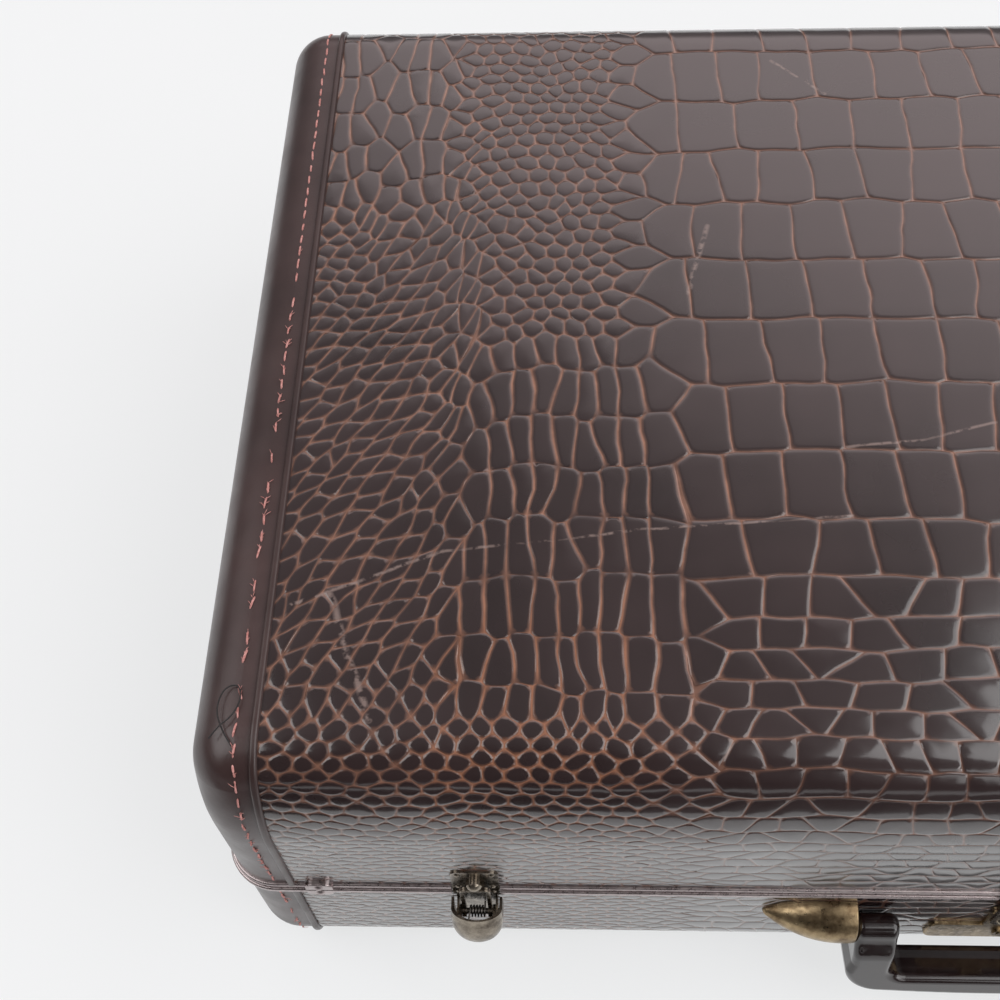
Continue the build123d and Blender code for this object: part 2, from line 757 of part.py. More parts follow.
def build_handle():
    """The moulded handle, its pins and its two bullet-shaped caps."""
    outer = make_face(handle_outline())
    plan = extrude(outer - opening_face(0.0), amount=HANDLE_HALF_T, both=True)
    half_t = HANDLE_HALF_T
    reach = HANDLE_GRIP_OUT + HANDLE_BOW + 1
    loop = [
        Edge.make_spline([(0, 0, HANDLE_EYE_R), (0, HANDLE_FULL_AT, half_t)], tangents=[(0, 1, 0), (0, 1, 0)]),
        Edge.make_line((0, HANDLE_FULL_AT, half_t), (0, reach, half_t)),
        Edge.make_line((0, reach, half_t), (0, reach, -half_t)),
        Edge.make_line((0, reach, -half_t), (0, HANDLE_FULL_AT, -half_t)),
        Edge.make_spline([(0, HANDLE_FULL_AT, -half_t), (0, 0, -HANDLE_EYE_R)], tangents=[(0, -1, 0), (0, -1, 0)]),
        Edge.make_three_point_arc(
            (0, 0, -HANDLE_EYE_R), (0, -HANDLE_EYE_R, 0), (0, 0, HANDLE_EYE_R)
        ),
    ]
    side = extrude(Pos(-HANDLE_W, 0, 0) * Face(Wire(loop)), amount=2 * HANDLE_W, dir=(1, 0, 0))
    grip = plan & side
    rims = [
        e for e in grip.edges()
        if abs(abs(e.center().Z) - half_t) < 0.05 and e.center().Y > HANDLE_FULL_AT + 0.5
        and e.geom_type in (GeomType.CIRCLE, GeomType.LINE) and e.length > 3
        and not (e.geom_type == GeomType.LINE and abs(e.center().Y - HANDLE_FULL_AT) < 0.1)
    ]
    grip = fillet(rims, HANDLE_EDGE_R)
    groove = extrude(opening_face(HANDLE_GROOVE_D), amount=HANDLE_GROOVE_W / 2, both=True)
    groove = groove & frame_box(
        -HANDLE_W, HANDLE_W, HANDLE_FULL_AT, HANDLE_GRIP_OUT, -HANDLE_GROOVE_W, HANDLE_GROOVE_W
    )
    grip = grip - groove
    half_w = HANDLE_W / 2
    for side_x in (-1, 1):
        x0, x1 = sorted((side_x * (half_w - HANDLE_PIN_IN_LEG - RUN_GAP), side_x * (half_w + 1)))
        bore = Pos((x0 + x1) / 2, 0, 0) * Rot(0, 90, 0) * Cylinder(HANDLE_PIN_R + RUN_GAP, x1 - x0)
        grip = grip - bore
    pivot = Pos(0, -HANDLE_PIVOT_OUT, -HANDLE_PIVOT_DROP)
    drooped = pivot * Rot(HANDLE_DROOP, 0, 0) * Rot(180, 0, 0) * grip
    PARTS["handle"] = front(drooped)

    pin_from = half_w - HANDLE_PIN_IN_LEG
    pin_to = half_w + CAP_GAP + HANDLE_PIN_IN_CAP
    pin = rod_x(HANDLE_PIN_R, pin_from, pin_to, HANDLE_PIVOT_OUT, -HANDLE_PIVOT_DROP)
    both_sides("handle_pin", front(pin))

    cap_x = half_w + CAP_GAP
    ogive_mid = Vector(cap_x + CAP_L * CAP_FULL_AT, 0, CAP_R * CAP_FULL_R)
    tip_from = Vector(cap_x + CAP_L - CAP_TIP_R * 0.6, 0, CAP_TIP_R)
    profile = make_face(
        [
            Edge.make_line((cap_x, 0, 0), (cap_x, 0, CAP_R)),
            Edge.make_three_point_arc((cap_x, 0, CAP_R), ogive_mid, tip_from),
            Edge.make_three_point_arc(
                tip_from, (cap_x + CAP_L - 0.2 * CAP_TIP_R, 0, CAP_TIP_R * 0.6), (cap_x + CAP_L, 0, 0)
            ),
            Edge.make_line((cap_x + CAP_L, 0, 0), (cap_x, 0, 0)),
        ]
    )
    cap = revolve(profile, Axis.X)
    cap = cap & frame_box(0, CASE_L, -CASE_D, 0, -CASE_D, CASE_D)
    flat_rim = [
        e for e in cap.edges()
        if abs(e.center().X - cap_x) < 1e-3 and e.geom_type == GeomType.CIRCLE
    ]
    cap = fillet(flat_rim, CAP_EDGE_R)
    cap = Pos(0, 0, -HANDLE_PIVOT_DROP) * cap
    cap = cap - rod_x(HANDLE_PIN_R + SEAT_GAP, cap_x - 1, pin_to + SEAT_GAP, HANDLE_PIVOT_OUT, -HANDLE_PIVOT_DROP)
    both_sides("handle_cap", front(cap))


def lock_case_block(gap, y0, y1):
    """The lock case: a low box, and a narrow neck up to the hasp's staple."""
    low, high = -LOCK_TOP - LOCK_H + LOCK_CASE_MARGIN, -LOCK_TOP - LOCK_CASE_MARGIN
    half, neck = LOCK_CASE_W / 2 + gap, LOCK_NECK_W / 2 + gap
    box = frame_box(-half, half, y0, y1, low - gap, high + gap)
    return box + frame_box(-neck, neck, y0, y1, high - LOCK_CASE_MARGIN, -LOCK_NECK_TOP + gap)


def lock_cutout():
    """The window in the base's front wall that the lock case fills."""
    return front(lock_case_block(CUTOUT_GAP, -1, LINING_IN + 1))


def build_lock():
    """Hasp, hasp plate and pin on the lid; plate, case, bolt and key plug on the base."""
    slot_x = STAPLE_W / 2 + LOCK_SLOT_GAP
    slot_z = STAPLE_H / 2 + LOCK_SLOT_GAP

    plate = fillet(Rectangle(LOCK_W, LOCK_H).vertices(), LOCK_CORNER_R)
    tongue_h = LOCK_TOP - LOCK_TONGUE_TOP + LOCK_CORNER_R
    tongue = Rectangle(LOCK_TONGUE_W, tongue_h)
    tongue = fillet(tongue.vertices().group_by(Axis.Y)[-1], LOCK_TONGUE_W / 4)
    plate = plate + Pos(0, LOCK_H / 2 - LOCK_CORNER_R + tongue_h / 2) * tongue
    plate = extrude(plate, amount=LOCK_T)
    plate = chamfer(plate.faces().sort_by(Axis.Z)[-1].edges(), LOCK_EDGE)
    plate = Pos(0, 0, -LOCK_TOP - LOCK_H / 2) * Rot(90, 0, 0) * plate
    boss = Pos(PLUG_X, -LOCK_T, -PLUG_Z) * Rot(90, 0, 0) * extrude(Circle(PLUG_BOSS_R), amount=PLUG_BOSS_H)
    plate = plate + boss
    staple_slot = frame_box(-slot_x, slot_x, -CASE_D, 0.01, -STAPLE_Z - slot_z, -STAPLE_Z + slot_z)
    barrel_len = LOCK_T + PLUG_BOSS_H + PLUG_OUT + PLUG_DEEP
    barrel_mid = LOCK_T + PLUG_BOSS_H + PLUG_OUT - barrel_len / 2
    barrel = Pos(PLUG_X, -barrel_mid, -PLUG_Z) * Rot(90, 0, 0) * Cylinder(PLUG_R, barrel_len)
    bore = Pos(PLUG_X, 0, -PLUG_Z) * Rot(90, 0, 0) * Cylinder(PLUG_R + RUN_GAP, 2 * (PLUG_DEEP + RUN_GAP))
    PARTS["lock_plate"] = front(plate - staple_slot - bore)

    case = lock_case_block(0.0, 0, LOCK_CASE_D)
    pocket = frame_box(
        -slot_x, slot_x, -1, STAPLE_DEEP + LOCK_SLOT_GAP, -STAPLE_Z - slot_z, -STAPLE_Z + slot_z
    )
    bolt_top = -STAPLE_Z - slot_z - BOLT_REST_GAP
    bolt_x, gap = BOLT_W / 2, RUN_GAP
    bolt_y0 = EYE_FROM + (EYE_D - BOLT_D) / 2
    bolt_y1 = bolt_y0 + BOLT_D
    channel = frame_box(
        -bolt_x - gap, bolt_x + gap, bolt_y0 - gap, bolt_y1 + gap,
        bolt_top - BOLT_L - gap, bolt_top + BOLT_TRAVEL + gap,
    )
    PARTS["lock_case"] = front(case - pocket - channel - bore)
    bolt = frame_box(-bolt_x, bolt_x, bolt_y0, bolt_y1, bolt_top - BOLT_L, bolt_top)
    nose = bolt.edges().filter_by(Axis.X).group_by(Axis.Z)[-1]
    PARTS["lock_bolt"] = front(chamfer(nose, BOLT_D / 4))
    print(f"lock bolt from {BASE_H + bolt_top - BOLT_L:.2f} to {BASE_H + bolt_top:.2f}")
    keyway = Pos(PLUG_X, -LOCK_T - PLUG_BOSS_H - PLUG_OUT, -PLUG_Z) * Box(KEYWAY_W, 2 * KEYWAY_D, KEYWAY_H)
    PARTS["lock_plug"] = front(barrel - keyway)

    strap_top = HASP_PIVOT_UP
    strap = Rectangle(HASP_W, HASP_LOW + strap_top)
    strap = fillet(strap.vertices().group_by(Axis.Y)[0], HASP_W / 2 - HASP_END_FLAT)
    strap = Pos(0, -HASP_OUT, (strap_top - HASP_LOW) / 2) * Rot(90, 0, 0) * extrude(strap, amount=HASP_T)
    knuckle = rod_x(HASP_KNUCKLE_R, -HASP_W / 2, HASP_W / 2, HASP_PIVOT_OUT, HASP_PIVOT_UP)
    lift = front_dome(HASP_LIFT_R, HASP_LIFT_OUT, 0, HASP_OUT + HASP_T, -HASP_LOW + HASP_W / 2)
    staple = frame_box(
        -STAPLE_W / 2, STAPLE_W / 2, -HASP_OUT, STAPLE_DEEP,
        -STAPLE_Z - STAPLE_H / 2, -STAPLE_Z + STAPLE_H / 2,
    )
    eye = frame_box(
        -EYE_W / 2, EYE_W / 2, EYE_FROM, EYE_FROM + EYE_D, -STAPLE_Z - STAPLE_H, -STAPLE_Z + STAPLE_H
    )
    pin_bore = rod_x(HASP_PIN_R + RUN_GAP, -HASP_W, HASP_W, HASP_PIVOT_OUT, HASP_PIVOT_UP)
    PARTS["lock_hasp"] = front(strap + knuckle + lift + (staple - eye) - pin_bore)

    half_plate = HASP_PLATE_W / 2
    leaf_low = HASP_PIVOT_UP + HASP_KNUCKLE_R - PLATE_T
    leaf = Rectangle(HASP_PLATE_W, HASP_PLATE_H)
    leaf = fillet(leaf.vertices().group_by(Axis.Y)[-1], TAB_CORNER_R)
    leaf = Pos(0, 0, leaf_low + HASP_PLATE_H / 2) * Rot(90, 0, 0) * extrude(leaf, amount=PLATE_T)
    ear_from = HASP_W / 2 + SIDE_GAP
    for side_x in (-1, 1):
        x0, x1 = sorted((side_x * ear_from, side_x * half_plate))
        leaf = leaf + rod_x(HASP_KNUCKLE_R, x0, x1, HASP_PIVOT_OUT, HASP_PIVOT_UP)
        leaf = leaf + frame_box(x0, x1, -HASP_PIVOT_OUT, 0, HASP_PIVOT_UP, HASP_PIVOT_UP + HASP_KNUCKLE_R)
        leaf = leaf + front_dome(
            SMALL_RIVET_R, SMALL_RIVET_H, side_x * (half_plate - 2 * SMALL_RIVET_R), PLATE_T,
            leaf_low + HASP_PLATE_H - 2 * SMALL_RIVET_R,
        )
    leaf_bore = rod_x(HASP_PIN_R + SEAT_GAP, -HASP_PLATE_W, HASP_PLATE_W, HASP_PIVOT_OUT, HASP_PIVOT_UP)
    PARTS["hasp_plate"] = front(leaf - leaf_bore)
    PARTS["hasp_pin"] = front(rod_x(HASP_PIN_R, -half_plate, half_plate, HASP_PIVOT_OUT, HASP_PIVOT_UP))


def knuckle_span(number):
    """From and to along X of one hinge knuckle, counted from the hinge's end."""
    pitch = HINGE_W / HINGE_KNUCKLES
    start = -HINGE_W / 2 + number * pitch
    return start + HINGE_END_GAP / 2, start + pitch - HINGE_END_GAP / 2


def hinge_leaf(up, numbers):
    """A leaf with its knuckles, drawn about the parting line of the back wall."""
    low = HINGE_KNUCKLE_R + HALF_GAP
    leaf = Rectangle(HINGE_W, HINGE_LEAF_H - low)
    leaf = fillet(leaf.vertices().group_by(Axis.Y)[-1], HINGE_CORNER_R)
    leaf = extrude(leaf, amount=HINGE_LEAF_T)
    leaf = Pos(0, 0, (HINGE_LEAF_H + low) / 2) * Rot(90, 0, 0) * leaf
    leaf = mirror(leaf, Plane.XZ)
    for number in numbers:
        x0, x1 = knuckle_span(number)
        middle, width = (x0 + x1) / 2, x1 - x0
        roll = Pos(middle, HINGE_OUT, 0) * Rot(0, 90, 0) * Cylinder(HINGE_KNUCKLE_R, width)
        neck = frame_box(x0, x1, 0, HINGE_OUT, 0, low) & frame_box(
            x0, x1, 0, HINGE_OUT + HINGE_KNUCKLE_R, 0.0, low
        )
        neck = neck - frame_box(x0, x1, HINGE_LEAF_T, HINGE_OUT, HINGE_KNUCKLE_R, low + 1)
        leaf = leaf + roll + neck
    for number in range(HINGE_RIVETS):
        x = (number - (HINGE_RIVETS - 1) / 2) * HINGE_W / HINGE_RIVETS
        head = Pos(x, HINGE_LEAF_T, (HINGE_LEAF_H + low) / 2 + 1) * Rot(-90, 0, 0)
        leaf = leaf + head * dome(HINGE_RIVET_R, SMALL_RIVET_H)
    bore_r = HINGE_PIN_R + RUN_GAP
    leaf = leaf - Pos(0, HINGE_OUT, 0) * Rot(0, 90, 0) * Cylinder(bore_r, 2 * HINGE_W)
    if up < 0:
        leaf = mirror(leaf, Plane.XY)
    return Pos(HINGE_X, HALF_D, BASE_H) * leaf


def build_hinges():
    """Two hinges on the back wall."""
    own = [n for n in range(HINGE_KNUCKLES) if n % 2 == 0]
    other = [n for n in range(HINGE_KNUCKLES) if n % 2 == 1]
    both_sides("hinge_base_leaf", hinge_leaf(-1, own))
    both_sides("hinge_lid_leaf", hinge_leaf(1, other))
    pin = Pos(HINGE_X, HALF_D + HINGE_OUT, BASE_H) * Rot(0, 90, 0) * Cylinder(HINGE_PIN_R, HINGE_W)
    both_sides("hinge_pin", pin)


def stay_place(ahead, up):
    """A place given in front of and above the hinge axis."""
    return HALF_D + HINGE_OUT - ahead, BASE_H + up


def stay_points():
    """Base pivot, knee and lid pivot of the closed stay, and how far each link turns."""
    base = (STAY_BASE_FRONT, STAY_BASE_UP)
    lid = (STAY_LID_FRONT, STAY_LID_UP)
    turn = math.radians(LID_OPEN)
    lid_open = (
        lid[0] * math.cos(turn) - lid[1] * math.sin(turn),
        lid[0] * math.sin(turn) + lid[1] * math.cos(turn),
    )

    def knee(end):
        dx, dz = end[0] - base[0], end[1] - base[1]
        gap = math.hypot(dx, dz)
        along = (gap * gap + STAY_LOWER ** 2 - STAY_UPPER ** 2) / (2 * gap)
        side = math.sqrt(max(STAY_LOWER ** 2 - along ** 2, 0.0))
        ux, uz = dx / gap, dz / gap
        return base[0] + ux * along + uz * side, base[1] + uz * along - ux * side

    knee_shut, knee_open = knee(lid), knee(lid_open)

    def heading(a, b):
        return math.degrees(math.atan2(b[1] - a[1], b[0] - a[0]))

    lower_turn = (heading(base, knee_open) - heading(base, knee_shut)) % 360
    upper_turn = heading(knee_open, lid_open) - heading(knee_shut, lid)
    return base, knee_shut, lid, lower_turn, upper_turn - lower_turn


def link(a, b, x0, x1):
    """A flat bar with round ends between two places on a stay."""
    (ay, az), (by, bz) = stay_place(*a), stay_place(*b)
    length = math.hypot(by - ay, bz - az)
    tilt = math.degrees(math.atan2(bz - az, by - ay))
    bar = SlotCenterToCenter(length, STAY_W)
    flat = extrude(bar, amount=x1 - x0)
    stood = Rot(0, 90, 0) * Rot(0, 0, 90) * flat
    return Pos(x0, (ay + by) / 2, (az + bz) / 2) * Rot(tilt, 0, 0) * stood


def stud(place, radius, x0, x1):
    """A round stud along X at a place on a stay."""
    y, z = stay_place(*place)
    return Pos((x0 + x1) / 2, y, z) * Rot(0, 90, 0) * Cylinder(radius, x1 - x0)


def build_stays():
    """A folding stay at each end: bracket, lower link, upper link, lid bracket."""
    base, knee, lid, lower_turn, upper_turn = stay_points()
    wall = HALF_L - LINING_IN
    plate_in = wall - STAY_PLATE_T
    lower_out = plate_in - STAY_GAP
    lower_in = lower_out - STAY_T
    upper_out = lower_in - STAY_GAP
    upper_in = upper_out - STAY_T
    head_in = lower_in - STAY_GAP / 2

    def plate(place, up):
        y, z = stay_place(*place)
        shift = STAY_PLATE_H / 2 - STAY_PLATE_W / 2
        flat = SlotOverall(STAY_PLATE_H, STAY_PLATE_W)
        flat = Rot(0, 90, 0) * extrude(flat, amount=STAY_PLATE_T)
        return Pos(plate_in, y, z + up * shift) * flat

    bracket = plate(base, -1) + stud(base, STAY_STUD_R, head_in, plate_in)
    bracket = bracket + stud(base, STAY_HEAD_R, head_in - STAY_HEAD_T, head_in)
    both_sides("stay_base_bracket", bracket)
    lower = link(base, knee, lower_in, lower_out) - stud(base, STAY_STUD_R + RUN_GAP, lower_in - 1, lower_out + 1)
    knee_head = upper_in - STAY_GAP / 2
    lower = lower + stud(knee, STAY_STUD_R, knee_head, lower_in)
    lower = lower + stud(knee, STAY_HEAD_R, knee_head - STAY_HEAD_T, knee_head)
    both_sides("stay_lower", lower)
    upper = link(knee, lid, upper_in, upper_out) - stud(knee, STAY_STUD_R + RUN_GAP, upper_in - 1, upper_out + 1)
    upper = upper + stud(lid, STAY_HEAD_R, upper_in - STAY_HEAD_T, upper_in)
    both_sides("stay_upper", upper)
    lid_bracket = plate(lid, 1) + stud(lid, STAY_STUD_R, upper_out + STAY_GAP, plate_in)
    both_sides("stay_lid_bracket", lid_bracket)
    print(f"stay lower link turns {lower_turn:.3f}, upper link {upper_turn:.3f}, lid {LID_OPEN}")
    for name, place in (("base pivot", base), ("knee", knee)):
        y, z = stay_place(*place)
        print(f"stay {name} at y {y:.4f} z {z:.4f}")


def build_feet():
    """Domed feet on the hinge side, on which the carried case is stood down."""
    foot = Rot(-90, 0, 0) * dome(FOOT_R, FOOT_H)
    for half, z in (("base", FOOT_BASE_Z), ("lid", BASE_H + FOOT_LID_UP)):
        PARTS[half + "_feet"] = Compound([Pos(x, HALF_D, z) * foot for x in (-FOOT_X, FOOT_X)])


def build_pocket():
    """The gathered pocket on the lid's ceiling, fuller at its open edge."""
    ceiling = BASE_H + LID_H - LINING_IN - POCKET_GAP
    back = HALF_D - LINING_IN - POCKET_FROM_BACK
    front_edge = back - POCKET_D
    points = [
        (back, ceiling), (front_edge, ceiling),
        (front_edge, ceiling - POCKET_T_TOP), (back, ceiling - POCKET_T_LOW),
    ]
    loop = [Vector(-POCKET_W / 2, y, z) for y, z in points]
    edges = [Edge.make_line(a, b) for a, b in zip(loop, loop[1:] + loop[:1])]
    pad = extrude(Face(Wire(edges)), amount=POCKET_W, dir=(1, 0, 0))
    PARTS["lid_pocket"] = fillet(pad.edges(), POCKET_EDGE_R)


def main():
    build_walls()
    build_mouldings()
    build_latches()
    build_handle()
    build_lock()
    build_hinges()
    build_stays()
    build_feet()
    build_pocket()
    os.makedirs("parts", exist_ok=True)
    for name, shape in PARTS.items():
        export_step(shape, f"parts/{name}.step")
    print(len(PARTS), "parts")


main()
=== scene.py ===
"""Looks for the crocodile-embossed suitcase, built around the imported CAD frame.

Metres, in the CAD part's frame: X along the case, the front with the handle faces -Y, Z up.
Lengths below are written in millimetres and scaled by MM where they reach Blender."""

import json
import math

import bmesh
import bpy
import numpy as np
from mathutils import Matrix, Vector, noise
from mathutils.geometry import delaunay_2d_cdt

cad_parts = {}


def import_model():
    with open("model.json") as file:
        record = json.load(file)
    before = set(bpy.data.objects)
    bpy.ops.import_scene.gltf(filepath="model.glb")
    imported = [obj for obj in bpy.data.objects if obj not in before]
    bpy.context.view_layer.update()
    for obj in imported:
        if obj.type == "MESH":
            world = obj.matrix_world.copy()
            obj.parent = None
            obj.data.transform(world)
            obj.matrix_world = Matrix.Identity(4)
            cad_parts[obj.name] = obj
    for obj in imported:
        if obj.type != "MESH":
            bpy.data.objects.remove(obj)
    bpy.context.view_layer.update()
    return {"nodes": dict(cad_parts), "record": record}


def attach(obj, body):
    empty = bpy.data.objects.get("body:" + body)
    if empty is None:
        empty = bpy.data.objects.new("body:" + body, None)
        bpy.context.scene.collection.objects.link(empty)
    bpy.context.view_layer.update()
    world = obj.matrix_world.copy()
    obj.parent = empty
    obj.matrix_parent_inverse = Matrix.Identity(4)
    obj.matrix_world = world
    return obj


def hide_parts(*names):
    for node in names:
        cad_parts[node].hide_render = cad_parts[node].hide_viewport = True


MM = 0.001

# The case, as in the CAD part
CASE_L = 670.0
CASE_D = 440.0
BASE_H = 93.0
LID_H = 105.0
END_ROLL = 20.0
BASE_ROLL = 29.0
LID_SIDE_R = 85.0
LID_SIDE_TURN = math.radians(25.0)
LID_TOP_R = 23.0
SEAM_IN = 27.3
MOULD_H = 3.4
PIPING_W = 3.2

HALF_L = CASE_L / 2
HALF_D = CASE_D / 2
SEAM_X = HALF_L - SEAM_IN

# The photograph's camera
CAM_PLACE = (-195.3, -386.2, 668.3)
CAM_PITCH = math.radians(57.8)
CAM_YAW = math.radians(4.4)
CAM_ROLL = math.radians(-3.7)
CAM_FOCAL_PIXELS = 1350.0
FRAME_PIXELS = 1000.0
SENSOR = 36.0

# Crocodile pattern
THIN_DEPTH = 0.14
VEIN_DEPTH = 0.22
PILLOW = 0.09
THIN_GROOVE = 0.26
WIDE_GROOVE = 0.40
UNDER = 0.08
SMALL_SHOULDER = 0.55
LARGE_SHOULDER = 0.95
PATTERN_SEED = 11
OVERHANG = 14.0

# Seam
STITCH_X = 315.0
STITCH_PITCH = 7.7
STITCH_LENGTH = 5.6
STITCH_R = 0.50
THREAD_R = 0.3
CORNER_REACH = 1.3
PLATEAU_IN = 0.9

# Scratches on the lid's top: both ends as (u, v) on the unrolled cover, and the width
SCRATCHES = (
    ((-300, 170), (-240, 195), 1.1),
    ((-240, 195), (-158, 205), 0.9),
    ((-158, 205), (-75, 212), 0.8),
    ((-75, 245), (-42, 249), 0.9),
    ((-42, 249), (-10, 258), 0.9),
    ((-85, 485), (-60, 460), 1.2),
    ((-285, 175), (-265, 122), 1.8),
    ((-135, 330), (-125, 370), 1.6),
)

# The gathered pocket on the lid's ceiling, as the CAD part's
POCKET_HALF = 270.0
POCKET_BACK = 185.5
POCKET_FRONT = 36.0
POCKET_CEILING = 189.0
POCKET_DROP = 12.0
POCKET_PLEAT = 15.0


def profile_pieces(half):
    """The cover's section from the front rim round to the back rim, as lengths and curves."""
    if half == "lid":
        rise = LID_H - LID_TOP_R - (LID_SIDE_R - LID_TOP_R) * math.sin(LID_SIDE_TURN)
        low = (HALF_D - LID_SIDE_R, BASE_H + rise)
        top = (
            low[0] + (LID_SIDE_R - LID_TOP_R) * math.cos(LID_SIDE_TURN),
            BASE_H + LID_H - LID_TOP_R,
        )
        return [
            ("line", rise, (HALF_D, BASE_H), (0.0, 1.0)),
            ("arc", LID_SIDE_R * LID_SIDE_TURN, low, (LID_SIDE_R, 0.0, 1)),
            ("arc", LID_TOP_R * (math.pi / 2 - LID_SIDE_TURN), top, (LID_TOP_R, LID_SIDE_TURN, 1)),
            ("line", top[0], (top[0], BASE_H + LID_H), (-1.0, 0.0)),
        ]
    centre = (HALF_D - BASE_ROLL, BASE_ROLL)
    return [
        ("line", BASE_H - BASE_ROLL, (HALF_D, BASE_H), (0.0, -1.0)),
        ("arc", BASE_ROLL * math.pi / 2, centre, (BASE_ROLL, 0.0, -1)),
        ("line", centre[0], (centre[0], 0.0), (-1.0, 0.0)),
    ]


class Section:
    """Turns a length along the section into a place and a normal in the YZ plane."""

    def __init__(self, half):
        self.pieces = profile_pieces(half)
        self.half_length = sum(piece[1] for piece in self.pieces)
        self.length = 2 * self.half_length

    def at(self, v):
        """Place (y, z) and outward normal at length v from the front rim."""
        mirrored = v > self.half_length
        s = self.length - v if mirrored else v
        for kind, length, start, shape in self.pieces:
            if s <= length or kind == self.pieces[-1][0] and start == self.pieces[-1][2]:
                break
            s -= length
        if kind == "line":
            y, z = start[0] + shape[0] * s, start[1] + shape[1] * s
            ny, nz = (1.0, 0.0) if shape[0] == 0.0 else (0.0, 1.0 if z > BASE_H / 2 else -1.0)
        else:
            radius, angle0, sense = shape
            angle = angle0 + s / radius
            ny, nz = math.cos(angle), sense * math.sin(angle)
            y, z = start[0] + radius * ny, start[1] + radius * nz
        side = 1.0 if mirrored else -1.0
        return side * y, z, side * ny, nz

    def surface(self, u, v, height):
        y, z, ny, nz = self.at(v)
        return Vector((u, y + ny * height, z + nz * height)) * MM

    def curved(self, v):
        s = min(v, self.length - v)
        return self.pieces[0][1] - 2 < s < self.half_length - self.pieces[-1][1] + 2


def bump(value, centre, width):
    return math.exp(-(((value - centre) / width) ** 2))


def step(value, edge, width):
    return 1.0 / (1.0 + math.exp(-max(-60.0, min(60.0, (value - edge) / width))))


def window(value, low, high, width):
    return step(value, low, width) * (1.0 - step(value, high, width))


